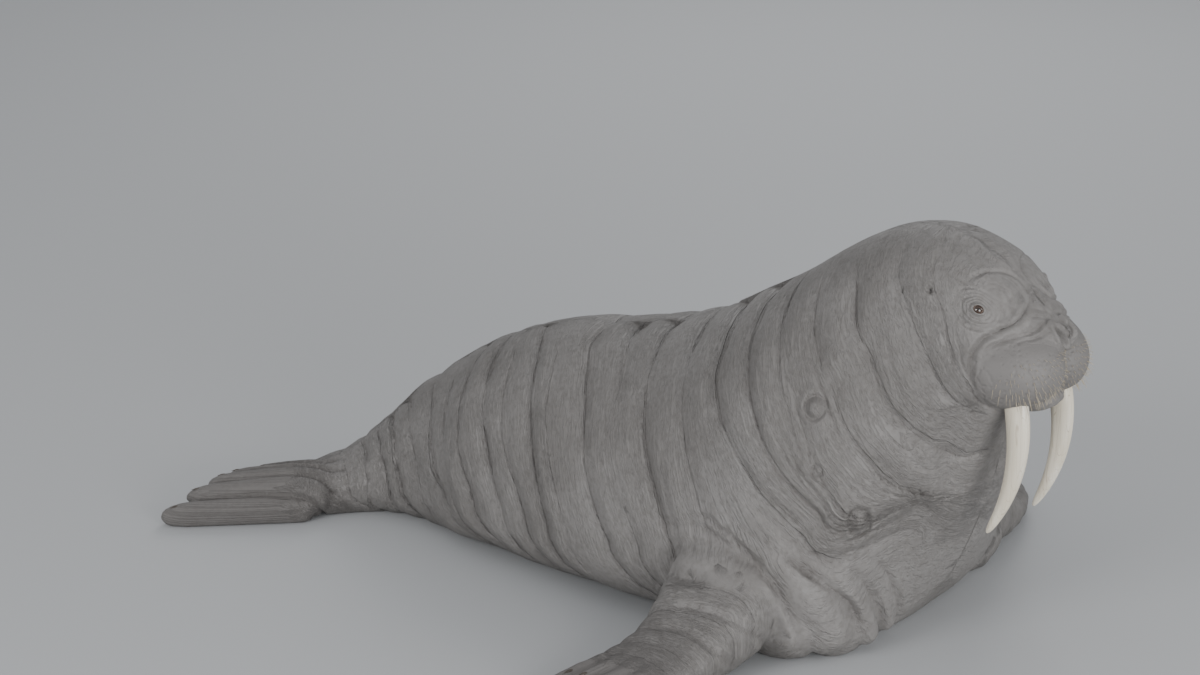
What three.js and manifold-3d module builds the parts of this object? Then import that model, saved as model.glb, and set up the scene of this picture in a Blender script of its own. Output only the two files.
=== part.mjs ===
// An adult male walrus at life size, lying on its belly with its head raised and turned a
// little to its right. Millimetres, +Z up, +X towards the head, +Y to the animal's left.
// The body is lofted whole, and then parted into head, neck, chest, abdomen, hindquarters and
// tail by thin cuts. Flippers, muzzle pads, lower jaw, tusks and eyes are solids of their own
// that sit in matching sockets.
import * as THREE from 'three';
import { mergeVertices } from 'three/addons/utils/BufferGeometryUtils.js';
import Module from 'manifold-3d';

const wasm = await Module();
wasm.setup();

// Clearance between solids that meet, and how near two points count as one.
const GAP = 0.35;
const SAME = 1e-3;
// The stations below are measured from a point under the ribs. The middle of the bounding box
// lies here, and the part is moved so that this is its origin.
const BOX_CENTRE = [-264, -163];
// What comes this near to the floor is pressed flat on it.
const FLAT = 14;

// Body stations from the tail's end to the nose, in the flat plane that halves the animal.
// back and belly are the (x, z) ends of a chord, and a cross-section stands on each chord.
// half is its half width, belt is how far up the chord it is widest, and round is the power of
// its upper and lower halves: 2 is an ellipse, and more is fuller at the corners.
const BODY_STATIONS = [
  { at: 'tail end', back: [-1620, 130], belly: [-1620, 40], half: 50, belt: 0.5, round: [2.0, 2.0] },
  { at: 'tail', back: [-1520, 165], belly: [-1520, 20], half: 120, belt: 0.45, round: [2.0, 2.2] },
  { at: 'ankles', back: [-1400, 215], belly: [-1400, 0], half: 165, belt: 0.42, round: [2.0, 2.4] },
  { at: 'shanks', back: [-1270, 329], belly: [-1270, 0], half: 200, belt: 0.4, round: [2.0, 2.6] },
  { at: 'knees', back: [-1120, 479], belly: [-1130, 0], half: 260, belt: 0.34, round: [2.0, 3.0] },
  { at: 'rump', back: [-820, 685], belly: [-860, 0], half: 400, belt: 0.3, round: [2.0, 3.4] },
  { at: 'hips', back: [-520, 797], belly: [-550, 0], half: 490, belt: 0.29, round: [2.0, 3.5] },
  { at: 'loins', back: [-250, 840], belly: [-250, 0], half: 570, belt: 0.29, round: [2.0, 3.6] },
  { at: 'ribs', back: [20, 915], belly: [60, 0], half: 630, belt: 0.3, round: [2.0, 3.8] },
  { at: 'shoulders', back: [235, 1033], belly: [420, 0], half: 670, belt: 0.31, round: [2.0, 4.0] },
  { at: 'withers', back: [410, 1145], belly: [740, 0], half: 680, belt: 0.32, round: [2.0, 3.8] },
  { at: 'breast', back: [560, 1250], belly: [900, 30], half: 580, belt: 0.36, round: [2.0, 3.2] },
  { at: 'neck base', back: [690, 1326], belly: [1020, 240], half: 470, belt: 0.42, round: [2.0, 2.4] },
  { at: 'nape', back: [810, 1365], belly: [1110, 480], half: 370, belt: 0.46, round: [2.1, 2.1] },
  { at: 'ears', back: [945, 1375], belly: [1150, 630], half: 310, belt: 0.5, round: [2.3, 2.1] },
  { at: 'crown', back: [1085, 1330], belly: [1180, 730], half: 265, belt: 0.52, round: [2.5, 2.1] },
  { at: 'eyes', back: [1190, 1265], belly: [1220, 790], half: 220, belt: 0.52, round: [2.5, 2.1] },
  { at: 'bridge', back: [1310, 1165], belly: [1275, 840], half: 165, belt: 0.52, round: [2.2, 2.0] },
  { at: 'nose', back: [1378, 1112], belly: [1325, 900], half: 80, belt: 0.5, round: [2.0, 2.0] },
];
const BODY_RINGS = 40;
const BODY_SIDES = 24;
// Rings and sides of the eggs: breast rolls, brows, pads and jaw, then eyeballs, then claws.
const EGG_MESH = [8, 12];
const EYE_MESH = [6, 10];
const CLAW_MESH = [4, 6];
// Angle that an egg's first ring stands off its pole.
const POLE = 0.06;

// The tail swings to the animal's right behind TAIL_TURN.from, and the forebody and head turn
// to the right ahead of NECK_TURN.from. Each turn is one arc between its two places.
const TAIL_TURN = { from: -800, to: -1380, degrees: 33 };
const NECK_TURN = { from: 50, to: 1050, degrees: 10.85 };

const radians = THREE.MathUtils.degToRad;

// Moves a point along with an arc of the body's middle line that turns to the right.
function turn(p, { from, to, degrees }) {
  const way = Math.sign(to - from);
  const past = (p[0] - from) * way;
  if (past <= 0) return p;
  const span = Math.abs(to - from);
  const bend = radians(degrees) / span;
  const angle = bend * Math.min(past, span);
  const rest = Math.max(past - span, 0);
  const x = from + way * (Math.sin(angle) / bend + rest * Math.cos(angle));
  const y = -(1 - Math.cos(angle)) / bend - rest * Math.sin(angle);
  return [x + way * Math.sin(angle) * p[1], y + Math.cos(angle) * p[1], p[2]];
}

const posed = (p) => turn(turn(p, TAIL_TURN), NECK_TURN);

// Skin rolls that the breast makes on the floor in front of each foreflipper, given for the
// left side: centre, half sizes, and turn in plan.
const BREAST_ROLLS = [
  { centre: [600, 540, 110], half: [225, 135, 135], turn: 12 },
  { centre: [765, 390, 100], half: [140, 195, 125], turn: -20 },
];

// The head's own forms, for the left side.
const BROW = { centre: [1140, 88, 1172], half: [105, 92, 96] };
const MUZZLE_PAD = { centre: [1252, 112, 985], half: [165, 115, 127], turn: -32, tip: -6 };
const LOWER_JAW = { centre: [1235, 0, 882], half: [125, 98, 62] };
const EYE = { centre: [1158, 197, 1191], radius: 21 };
// thick and point are the radii at the lip and at the worn point. bow is how far the middle of
// the curve's corner stands ahead, and bury is the length inside the skull. The section is deeper
// than wide. round is the share of the radius that the point loses, and worn is how late.
const TUSK = {
  root: [1288, 137.6, 840],
  tip: [1200, 147.4, 415],
  bow: 81,
  thick: 38,
  point: 10,
  bury: 60,
  deep: 1.1,
  wide: 0.82,
  round: 0.9,
  worn: 10,
  rings: 11,
  sides: 8,
};

// A limb is a loft along a path over the floor. f is the part of its length from root to tip.
// half and thick are the section's half sizes, high is its middle above the floor.
const FORE_PROFILE = [
  { f: 0, half: 150, thick: 200, high: 340 },
  { f: 0.18, half: 200, thick: 240, high: 330 },
  { f: 0.31, half: 215, thick: 215, high: 255 },
  { f: 0.45, half: 198, thick: 145, high: 150 },
  { f: 0.58, half: 172, thick: 85, high: 85 },
  { f: 0.71, half: 175, thick: 56, high: 56 },
  { f: 0.83, half: 182, thick: 39, high: 41 },
  { f: 0.94, half: 168, thick: 27, high: 30 },
  { f: 1, half: 130, thick: 12, high: 18 },
];
const HIND_PROFILE = [
  { f: 0, half: 110, thick: 120, high: 130 },
  { f: 0.17, half: 130, thick: 100, high: 110 },
  { f: 0.34, half: 122, thick: 80, high: 85 },
  { f: 0.5, half: 120, thick: 60, high: 65 },
  { f: 0.67, half: 130, thick: 47, high: 52 },
  { f: 0.83, half: 136, thick: 37, high: 42 },
  { f: 0.94, half: 130, thick: 26, high: 32 },
  { f: 1, half: 100, thick: 12, high: 18 },
];
// side is 1 for the left. aim is the root's direction in plan, in degrees ahead of straight out
// for a foreflipper and outward of straight back for a hind one. sweep is how far it then
// curves back, and a higher curl holds more of that for the tip.
// settle carries the hind flippers round with the tail. The foreflippers keep their places.
const stay = (p) => p;
const FOREFLIPPERS = [
  {
    name: 'left', side: 1, root: [560, 40], length: 1160,
    aim: 30, sweep: 110, curl: 2.2, scale: 1, settle: stay,
  },
  {
    name: 'right', side: -1, root: [440, 220], length: 1240,
    aim: 0, sweep: 40, curl: 1.6, scale: 1, settle: stay,
  },
];
const HIND_FLIPPERS = [
  {
    name: 'left', side: 1, root: [-1250, 63], length: 560,
    aim: 0, sweep: -3, curl: 1, scale: 0.87, settle: posed,
  },
  {
    name: 'right', side: -1, root: [-1250, 70], length: 755,
    aim: 0, sweep: -3, curl: 1, scale: 1, settle: posed,
  },
];
// Digits: ridges across the flipper, and how far their tips reach past the webs between them.
// lead makes the digit at the leading edge the longest.
const FORE_DIGITS = { ridge: 7, reach: 16, lead: 42 };
const HIND_DIGITS = { ridge: 7, reach: 18, lead: 75 };
// Upright planes where the muzzle pads meet, and where the soles of the hind flippers meet.
const CLEFT = { rear: 1200, front: 1300, shift: 0 };
const SOLES = { rear: -2000, front: -1400, shift: 12 };
const DIGITS = 5;
// Power of a flipper's section: so much at the root, and so much more at the tip.
const SECTION = { root: 2.2, more: 0.9 };
// Shares of the length where the digits' ridges start and are full, and where their tips do.
const RIDGES = [0.5, 0.8];
const TIPS = [0.55, 1];
const LIMB_RINGS = 13;
const LIMB_STRIDES = 48;
// Half sizes of a claw, how far it lies behind the digit's tip, how high its middle stands over
// the skin, how much of the flipper's width the row of claws takes, and the power by which the
// row falls away to both sides.
const CLAW = { long: 26, half: 6, back: 17, high: 2, spread: 0.8, fall: 3 };
// Share of the foreflipper's length where the hand meets the arm.
const WRIST = 0.6;

// Planes that part the body, through the (x, z) points of the back and the belly.
const PARTINGS = [
  { name: 'tail', back: [-1120, 480], belly: [-1130, 0] },
  { name: 'hindquarters', back: [-430, 820], belly: [-450, 0] },
  { name: 'abdomen', back: [120, 970], belly: [230, 0] },
  { name: 'chest', back: [590, 1270], belly: [1010, 400] },
  { name: 'neck', back: [900, 1372], belly: [1135, 600] },
];

// Smooth curve through the rows of a table, by Catmull and Rom's cubic. t counts rows.
function smooth(rows, t) {
  const i = Math.min(Math.floor(t), rows.length - 2);
  const f = t - i;
  const b = rows[i];
  const c = rows[i + 1];
  return b.map((_, k) => {
    const a = i > 0 ? rows[i - 1][k] : 2 * b[k] - c[k];
    const d = i + 2 < rows.length ? rows[i + 2][k] : 2 * c[k] - b[k];
    const linear = (c[k] - a) * f;
    const square = (2 * a - 5 * b[k] + 4 * c[k] - d) * f * f;
    const cube = (3 * b[k] - a - 3 * c[k] + d) * f * f * f;
    return 0.5 * (2 * b[k] + linear + square + cube);
  });
}

// Height after the weight has pressed the lowest skin flat.
const pressed = (z) => Math.max(0, z - FLAT * (1 - THREE.MathUtils.smoothstep(z, 0, 4 * FLAT)));

// Joins rings of points into a closed shell. Each end is closed by a fan from its middle, but a
// last ring that is shut into a line needs none.
function shell(rings, shut = false) {
  const sides = rings[0].length;
  const middle = (ring) => [0, 1, 2].map((k) => ring.reduce((sum, p) => sum + p[k], 0) / sides);
  const points = rings.flat();
  const first = points.push(middle(rings[0])) - 1;
  const last = points.push(middle(rings[rings.length - 1])) - 1;
  const faces = [];
  for (let j = 0; j < sides; j++) {
    const next = (j + 1) % sides;
    const end = (rings.length - 1) * sides;
    faces.push(first, next, j);
    if (!shut) faces.push(last, end + j, end + next);
    for (let i = 0; i + 1 < rings.length; i++) {
      const row = i * sides;
      faces.push(row + j, row + next, row + sides + next);
      faces.push(row + j, row + sides + next, row + sides + j);
    }
  }
  const geometry = new THREE.BufferGeometry();
  geometry.setAttribute('position', new THREE.Float32BufferAttribute(points.flat(), 3));
  geometry.setIndex(faces);
  return geometry;
}

// A closed mesh as a solid with its faces pointing out.
function solid(geometry) {
  const merged = mergeVertices(geometry, SAME);
  const vertProperties = new Float32Array(merged.attributes.position.array);
  const index = Array.from(merged.index.array);
  const triVerts = [];
  let volume = 0;
  const corner = (i) => new THREE.Vector3().fromArray(vertProperties, 3 * i);
  for (let i = 0; i < index.length; i += 3) {
    const [a, b, c] = index.slice(i, i + 3);
    if (a === b || b === c || c === a) continue;
    volume += corner(a).dot(corner(b).cross(corner(c)));
    triVerts.push(a, b, c);
  }
  if (volume < 0) triVerts.reverse();
  const mesh = new wasm.Mesh({ numProp: 3, vertProperties, triVerts: Uint32Array.from(triVerts) });
  return new wasm.Manifold(mesh);
}

// Signed power, for the corners of a section.
const power = (value, exponent) => Math.sign(value) * Math.abs(value) ** exponent;

// The body from tail to nose, lofted through its stations.
function bodyShell() {
  const rows = BODY_STATIONS.map((s) => [...s.back, ...s.belly, s.half, s.belt, ...s.round]);
  const rings = [];
  for (let i = 0; i <= BODY_RINGS; i++) {
    const t = (i / BODY_RINGS) * (rows.length - 1);
    const [backX, backZ, bellyX, bellyZ, half, belt, upper, lower] = smooth(rows, t);
    const ring = [];
    for (let j = 0; j < BODY_SIDES; j++) {
      const angle = (j / BODY_SIDES) * 2 * Math.PI;
      const up = Math.cos(angle);
      const e = 2 / (up >= 0 ? upper : lower);
      const rise = belt + (up >= 0 ? 1 - belt : belt) * power(up, e);
      const x = bellyX + (backX - bellyX) * rise;
      const z = pressed(bellyZ + (backZ - bellyZ) * rise);
      ring.push(posed([x, half * power(Math.sin(angle), e), z]));
    }
    rings.push(ring);
  }
  return shell(rings);
}

// An ellipsoid for one side of the animal, tipped about Y, then turned about Z. A part that
// would reach below the floor is laid flat on it.
function egg(form, side, grow = 0, [rings, sides] = EGG_MESH, settle = posed) {
  const { centre, half, turn: plan = 0, tip = 0 } = form;
  const pose = new THREE.Euler(0, radians(tip), radians(plan * side), 'ZYX');
  const middle = new THREE.Vector3(centre[0], centre[1] * side, centre[2]);
  const [a, b, c] = half.map((size) => size + grow);
  const shape = [];
  for (let i = 0; i <= rings; i++) {
    const polar = POLE + (i / rings) * (Math.PI - 2 * POLE);
    const ring = [];
    for (let j = 0; j < sides; j++) {
      const round = (j / sides) * 2 * Math.PI;
      const across = Math.sin(polar);
      const p = new THREE.Vector3(Math.cos(polar), across * Math.cos(round), across * Math.sin(round));
      p.multiply(new THREE.Vector3(a, b, c)).applyEuler(pose).add(middle);
      ring.push(settle([p.x, p.y, pressed(p.z)]));
    }
    shape.push(ring);
  }
  return solid(shell(shape));
}

// A tusk: tapering oval rings along a bowed curve, from inside the skull to a worn point.
function tusk(side, grow = 0) {
  const start = new THREE.Vector3(TUSK.root[0], TUSK.root[1] * side, TUSK.root[2]);
  const end = new THREE.Vector3(TUSK.tip[0], TUSK.tip[1] * side, TUSK.tip[2]);
  const knee = start.clone().add(end).multiplyScalar(0.5);
  knee.x += TUSK.bow;
  const curve = new THREE.QuadraticBezierCurve3(start, knee, end);
  const rings = [];
  for (let place = -1; place <= TUSK.rings; place++) {
    const f = Math.max(place, 0) / TUSK.rings;
    const along = curve.getTangent(f);
    const middle = curve.getPoint(f);
    if (place < 0) middle.addScaledVector(along, -TUSK.bury - grow);
    if (place === TUSK.rings) middle.addScaledVector(along, grow);
    const ahead = new THREE.Vector3(0, 1, 0).cross(along).normalize();
    const out = along.clone().cross(ahead);
    const taper = TUSK.thick + (TUSK.point - TUSK.thick) * f ** 1.5;
    const radius = taper * Math.sqrt(1 - TUSK.round * f ** TUSK.worn) + grow;
    const ring = [];
    for (let j = 0; j < TUSK.sides; j++) {
      const angle = (j / TUSK.sides) * 2 * Math.PI;
      const p = middle.clone();
      p.addScaledVector(ahead, TUSK.deep * radius * Math.cos(angle));
      p.addScaledVector(out, TUSK.wide * radius * Math.sin(angle));
      ring.push(posed(p.toArray()));
    }
    rings.push(ring);
  }
  return solid(shell(rings));
}

// Where a limb's middle line lies over the floor at share f of its length, with its direction
// there and the direction towards its leading edge. The heading starts at aim and swings back by
// sweep, faster towards the tip. It is zero straight out for outward limbs, else straight back.
function limbPath({ side, root, length, aim, sweep, curl }, f, outward) {
  const heading = (g) => radians(aim - sweep * g ** curl);
  const out = (angle) => [Math.sin(angle), Math.cos(angle)];
  const back = (angle) => [-Math.cos(angle), Math.sin(angle)];
  const way = outward ? out : back;
  const stride = (length * f) / LIMB_STRIDES;
  const middle = [...root];
  for (let i = 0; i < LIMB_STRIDES; i++) {
    const step = way(heading(((i + 0.5) / LIMB_STRIDES) * f));
    middle[0] += stride * step[0];
    middle[1] += stride * step[1];
  }
  const [x, y] = way(heading(f));
  const lead = outward ? [y, -x * side] : [-y, x * side];
  return { middle: [middle[0], middle[1] * side], along: [x, y * side], lead };
}

const rowsOf = (profile, scale) => profile.map((s) => [s.f, s.half * scale, s.thick, s.high]);

// A flipper from its buried root to the tips of its digits. Points run across the top from the
// leading edge to the trailing edge, on the digits and the webs between them, and back below.
function flipper(limb, profile, digits, outward, grow = 0) {
  const rows = rowsOf(profile, limb.scale);
  const across = Array.from({ length: 2 * DIGITS + 1 }, (_, k) => 1 - k / DIGITS);
  const below = across.slice(1, -1).reverse();
  const rings = [];
  for (let i = 0; i <= LIMB_RINGS; i++) {
    const [f, half, thick, high] = smooth(rows, (i / LIMB_RINGS) * (rows.length - 1));
    const { middle, along, lead } = limbPath(limb, f, outward);
    const ends = i === 0 ? -grow : i === LIMB_RINGS ? grow : 0;
    const fan = THREE.MathUtils.smoothstep(f, ...RIDGES);
    const tips = THREE.MathUtils.smoothstep(f, ...TIPS);
    const corner = SECTION.root + SECTION.more * f;
    const place = (u, top) => {
      const web = Math.cos(DIGITS * Math.PI * u);
      const rise = i < LIMB_RINGS ? (1 - Math.abs(u) ** corner) ** (1 / corner) : 0;
      const edge = Math.sign(u) * grow + u * half;
      const reach = tips * (digits.lead * u + digits.reach * web) + ends;
      const puff = Math.abs(u) < 1 && i < LIMB_RINGS ? grow : 0;
      const lift = top ? rise * (thick + digits.ridge * fan * web) : -rise * thick;
      const x = middle[0] + along[0] * reach + lead[0] * edge;
      const y = middle[1] + along[1] * reach + lead[1] * edge;
      return limb.settle([x, y, pressed(high + lift) + (top ? puff : -puff)]);
    };
    rings.push([...across.map((u) => place(u, true)), ...below.map((u) => place(u, false))]);
  }
  return solid(shell(rings, true));
}

// One claw lies on the back of each digit, a little behind its tip.
function claws(limb, profile, digits, outward) {
  const rows = rowsOf(profile, limb.scale);
  const [f, half, thick, high] = rows[rows.length - 2];
  const { middle, along, lead } = limbPath(limb, f, outward);
  const plan = THREE.MathUtils.radToDeg(Math.atan2(along[1], along[0])) * limb.side;
  return Array.from({ length: DIGITS }, (_, k) => {
    const u = CLAW.spread * ((2 * k) / (DIGITS - 1) - 1);
    const reach = digits.lead * u * CLAW.spread - CLAW.back;
    const x = middle[0] + along[0] * reach + lead[0] * u * half;
    const y = middle[1] + along[1] * reach + lead[1] * u * half;
    const rise = (1 - Math.abs(u) ** CLAW.fall) ** (1 / CLAW.fall);
    const centre = [x, y * limb.side, high + rise * thick + CLAW.high];
    const form = { centre, half: [CLAW.long, CLAW.half, CLAW.half], turn: plan };
    return egg(form, limb.side, 0, CLAW_MESH, limb.settle);
  });
}

// Cuts a solid by the plane through a back point and a belly point. The side ahead and the side
// behind each lose half of the gap.
function part(body, { back, belly }) {
  const a = new THREE.Vector3(...posed([back[0], 0, back[1]]));
  const b = new THREE.Vector3(...posed([belly[0], 0, belly[1]]));
  const across = new THREE.Vector3(...posed([back[0], 100, back[1]])).sub(a);
  const ahead = across.cross(b.clone().sub(a)).normalize();
  if (ahead.x < 0) ahead.negate();
  const offset = ahead.dot(a);
  const behind = ahead.clone().negate();
  return [
    body.trimByPlane(behind.toArray(), -offset + GAP / 2),
    body.trimByPlane(ahead.toArray(), offset + GAP / 2),
  ];
}

// Keeps what lies to one side of an upright plane, less half of the gap. The plane runs from
// rear to front, off the middle by shift.
function beside(body, side, { rear, front, shift }) {
  const a = new THREE.Vector3(...posed([front, shift, 0]));
  const b = new THREE.Vector3(...posed([rear, shift, 0]));
  const up = new THREE.Vector3(0, 0, 1);
  const left = up.cross(a.clone().sub(b)).normalize().multiplyScalar(side);
  return body.trimByPlane(left.toArray(), left.dot(a) + GAP / 2);
}

// The largest piece of a solid, without slivers that a cut leaves.
const main = (body) => body.decompose().sort((a, b) => b.volume() - a.volume())[0];

const walrus = new THREE.Group();
walrus.position.set(-BOX_CENTRE[0], -BOX_CENTRE[1], 0);

const HIDE = { color: 0x7b7e80, roughness: 0.62, metalness: 0 };
const PAD = { color: 0x85878a, roughness: 0.55, metalness: 0 };
const IVORY = { color: 0xd9d4c4, roughness: 0.35, metalness: 0 };
const EYEBALL = { color: 0x2a1c14, roughness: 0.08, metalness: 0 };

function add(name, body, finish) {
  const { vertProperties, triVerts } = main(body).getMesh();
  const geometry = new THREE.BufferGeometry();
  geometry.setAttribute('position', new THREE.Float32BufferAttribute(vertProperties, 3));
  geometry.setIndex(Array.from(triVerts));
  geometry.computeVertexNormals();
  const mesh = new THREE.Mesh(geometry, new THREE.MeshStandardMaterial(finish));
  mesh.name = name;
  walrus.add(mesh);
}

const sides = [['left', 1], ['right', -1]];
let body = solid(bodyShell());
let jaw = egg(LOWER_JAW, 1);
body = body.subtract(egg(LOWER_JAW, 1, GAP));

for (const [, side] of sides) {
  for (const roll of BREAST_ROLLS) body = body.add(egg(roll, side));
  body = body.add(egg(BROW, side));
}
for (const [name, side] of sides) {
  const pad = beside(egg(MUZZLE_PAD, side), side, CLEFT);
  add(`muzzle_pad_${name}`, pad.subtract(tusk(side, GAP)), PAD);
  body = body.subtract(egg(MUZZLE_PAD, side, GAP)).subtract(tusk(side, GAP));
  jaw = jaw.subtract(egg(MUZZLE_PAD, side, GAP)).subtract(tusk(side, GAP));
  add(`tusk_${name}`, tusk(side), IVORY);
  const ball = { centre: EYE.centre, half: [EYE.radius, EYE.radius, EYE.radius] };
  add(`eye_${name}`, egg(ball, side, 0, EYE_MESH), EYEBALL);
  body = body.subtract(egg(ball, side, GAP, EYE_MESH));
}
add('lower_jaw', jaw, HIDE);

for (const limb of FOREFLIPPERS) {
  let arm = flipper(limb, FORE_PROFILE, FORE_DIGITS, true);
  for (const claw of claws(limb, FORE_PROFILE, FORE_DIGITS, true)) arm = arm.add(claw);
  body = body.subtract(flipper(limb, FORE_PROFILE, FORE_DIGITS, true, GAP));
  const { middle, along } = limbPath(limb, WRIST, true);
  const spot = new THREE.Vector3(...middle, 0);
  const out = new THREE.Vector3(...along, 0);
  const offset = out.dot(spot);
  const hand = arm.trimByPlane(out.toArray(), offset + GAP / 2);
  const upper = arm.trimByPlane(out.negate().toArray(), -offset + GAP / 2);
  add(`foreflipper_hand_${limb.name}`, hand, HIDE);
  add(`foreflipper_arm_${limb.name}`, upper, HIDE);
}
for (const limb of HIND_FLIPPERS) {
  let foot = flipper(limb, HIND_PROFILE, HIND_DIGITS, false);
  for (const claw of claws(limb, HIND_PROFILE, HIND_DIGITS, false)) foot = foot.add(claw);
  foot = beside(foot, limb.side, SOLES);
  body = body.subtract(flipper(limb, HIND_PROFILE, HIND_DIGITS, false, GAP));
  add(`hind_flipper_${limb.name}`, foot, HIDE);
}
for (const parting of PARTINGS) {
  const [behind, ahead] = part(body, parting);
  add(parting.name, behind, HIDE);
  body = ahead;
}
add('head', body, HIDE);

export default walrus;
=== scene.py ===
# %% [markdown]
# # A walrus at life size
# The real object is an adult male walrus that rests on its belly with the head raised. This
# lesson gives the imported solids their skin. The solids stay as the frame. The pieces made here
# are one hide over all the flesh, the tusks, the eyes, the claws and the whiskers, and the solids
# under the hide, the tusks and the eyes are hidden. Every surface is worked out with numpy as whole
# arrays.

# %% The frame
import bpy
import numpy as np
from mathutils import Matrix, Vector


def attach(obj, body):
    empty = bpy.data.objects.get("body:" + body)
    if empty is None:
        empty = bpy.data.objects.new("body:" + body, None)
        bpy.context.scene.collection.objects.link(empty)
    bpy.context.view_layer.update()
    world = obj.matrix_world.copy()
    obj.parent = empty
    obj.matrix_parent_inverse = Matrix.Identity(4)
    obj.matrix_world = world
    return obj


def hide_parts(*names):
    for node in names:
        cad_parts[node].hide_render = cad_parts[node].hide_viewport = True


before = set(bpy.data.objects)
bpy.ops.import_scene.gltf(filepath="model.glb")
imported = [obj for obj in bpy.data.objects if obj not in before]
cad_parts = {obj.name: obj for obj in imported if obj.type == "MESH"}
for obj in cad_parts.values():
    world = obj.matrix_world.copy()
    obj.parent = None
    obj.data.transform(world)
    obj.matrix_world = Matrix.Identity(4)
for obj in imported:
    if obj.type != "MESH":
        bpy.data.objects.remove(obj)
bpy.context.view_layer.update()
print("solids in the frame:", len(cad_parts))

# %% [markdown]
# ## Numbers that shape the animal
# The hide follows the same stations as the solids: cross-sections that stand on chords from
# the back to the belly. Metres, +X towards the head, +Y to the animal's left. The stations are
# counted from a point under the ribs, and ORIGIN moves them to the part's own origin.

# %% Driving dimensions
ORIGIN = np.array([0.264, 0.163, 0.0])
FLAT = 0.014
# back x, back z, belly x, belly z, half width, belt, power of the upper and the lower half
STATIONS = np.array([
    (-1.620, 0.130, -1.620, 0.040, 0.050, 0.50, 2.0, 2.0),
    (-1.520, 0.165, -1.520, 0.020, 0.120, 0.45, 2.0, 2.2),
    (-1.400, 0.215, -1.400, 0.000, 0.165, 0.42, 2.0, 2.4),
    (-1.270, 0.329, -1.270, 0.000, 0.200, 0.40, 2.0, 2.6),
    (-1.120, 0.479, -1.130, 0.000, 0.260, 0.34, 2.0, 3.0),
    (-0.820, 0.685, -0.860, 0.000, 0.400, 0.30, 2.0, 3.4),
    (-0.520, 0.797, -0.550, 0.000, 0.490, 0.29, 2.0, 3.5),
    (-0.250, 0.840, -0.250, 0.000, 0.570, 0.29, 2.0, 3.6),
    (0.020, 0.915, 0.060, 0.000, 0.630, 0.30, 2.0, 3.8),
    (0.235, 1.033, 0.420, 0.000, 0.670, 0.31, 2.0, 4.0),
    (0.410, 1.145, 0.740, 0.000, 0.680, 0.32, 2.0, 3.8),
    (0.560, 1.250, 0.900, 0.030, 0.580, 0.36, 2.0, 3.2),
    (0.690, 1.326, 1.020, 0.240, 0.470, 0.42, 2.0, 2.4),
    (0.810, 1.365, 1.110, 0.480, 0.370, 0.46, 2.1, 2.1),
    (0.945, 1.375, 1.150, 0.630, 0.310, 0.50, 2.3, 2.1),
    (1.085, 1.330, 1.180, 0.730, 0.265, 0.52, 2.5, 2.1),
    (1.190, 1.265, 1.220, 0.790, 0.220, 0.52, 2.5, 2.1),
    (1.310, 1.165, 1.275, 0.840, 0.165, 0.52, 2.2, 2.0),
    (1.378, 1.112, 1.325, 0.900, 0.080, 0.50, 2.0, 2.0)])
LAST = len(STATIONS) - 1
# Where the middle line bends to the animal's right: from, to, and by how much.
TAIL_TURN = (-0.80, -1.38, np.radians(33))
NECK_TURN = (0.05, 1.05, np.radians(10.85))
SIDES = {"left": 1, "right": -1}
print("stations:", len(STATIONS))


# %% Curves and distances
def ease(x, low, high):
    """Rises smoothly from 0 at low to 1 at high: three times the square less twice the cube."""
    s = np.clip((x - low) / (high - low), 0, 1)
    return s * s * (3 - 2 * s)


def hump(x, width):
    """A bell curve: e to the minus square of x over width."""
    return np.exp(-(x / width) ** 2)


def unit(vectors):
    """A vector, or each row of vectors, made one long."""
    return vectors / np.linalg.norm(vectors, axis=-1, keepdims=True)


def distance(points, place):
    """Distance of each point from a place, or from the one of as many places that is its own."""
    return np.linalg.norm(points - place, axis=1)


def circle(sides):
    """Angles of so many even steps round a full turn."""
    return np.linspace(0, 2 * np.pi, sides, endpoint=False)


def run_along(points):
    """Length along a line of points from its start to each of them."""
    return np.concatenate([[0], np.cumsum(np.linalg.norm(np.diff(points, axis=0), axis=1))])


def on_left(points):
    """Straight points with those of the right side laid over on the left."""
    return points * (1, 0, 1) + np.abs(points) * (0, 1, 0)


def window(x, start, rise, fall, end):
    """Rises from start to rise, is 1 up to fall, and is 0 again from end."""
    return ease(x, start, rise) * (1 - ease(x, fall, end))


def rows_at(rows, t):
    """Rows of a table at places t between them, by the cubic of Catmull and Rom."""
    rows = np.asarray(rows, float)
    ends = np.vstack([2 * rows[0] - rows[1], rows, 2 * rows[-1] - rows[-2]])
    i = np.clip(np.floor(t).astype(int), 0, len(rows) - 2)
    f = (t - i)[..., None]
    a, b, c, d = (ends[i + k] for k in range(4))
    cube = (3 * b - a - 3 * c + d) * f ** 3
    return 0.5 * (2 * b + (c - a) * f + (2 * a - 5 * b + 4 * c - d) * f * f + cube)


print("half way from 0 to 1:", ease(0.5, 0, 1), "quarter:", ease(0.25, 0, 1))


# %% Turns of the middle line
def turned(points, bend):
    """Carries points round an arc of the middle line: along the arc as far as it goes, then on
    in its last direction, with the distance across kept."""
    start, end, angle = bend
    way, span = np.sign(end - start), abs(end - start)
    past = (points[:, 0] - start) * way
    part = angle * np.clip(past, 0, span) / span
    rest = np.clip(past - span, 0, None)
    radius = span / angle
    x = start + way * (np.sin(part) * (radius + points[:, 1]) + rest * np.cos(part))
    y = np.cos(part) * (radius + points[:, 1]) - radius - rest * np.sin(part)
    moved = np.column_stack([x, y, points[:, 2]])
    return np.where((past > 0)[:, None], moved, points)


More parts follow.
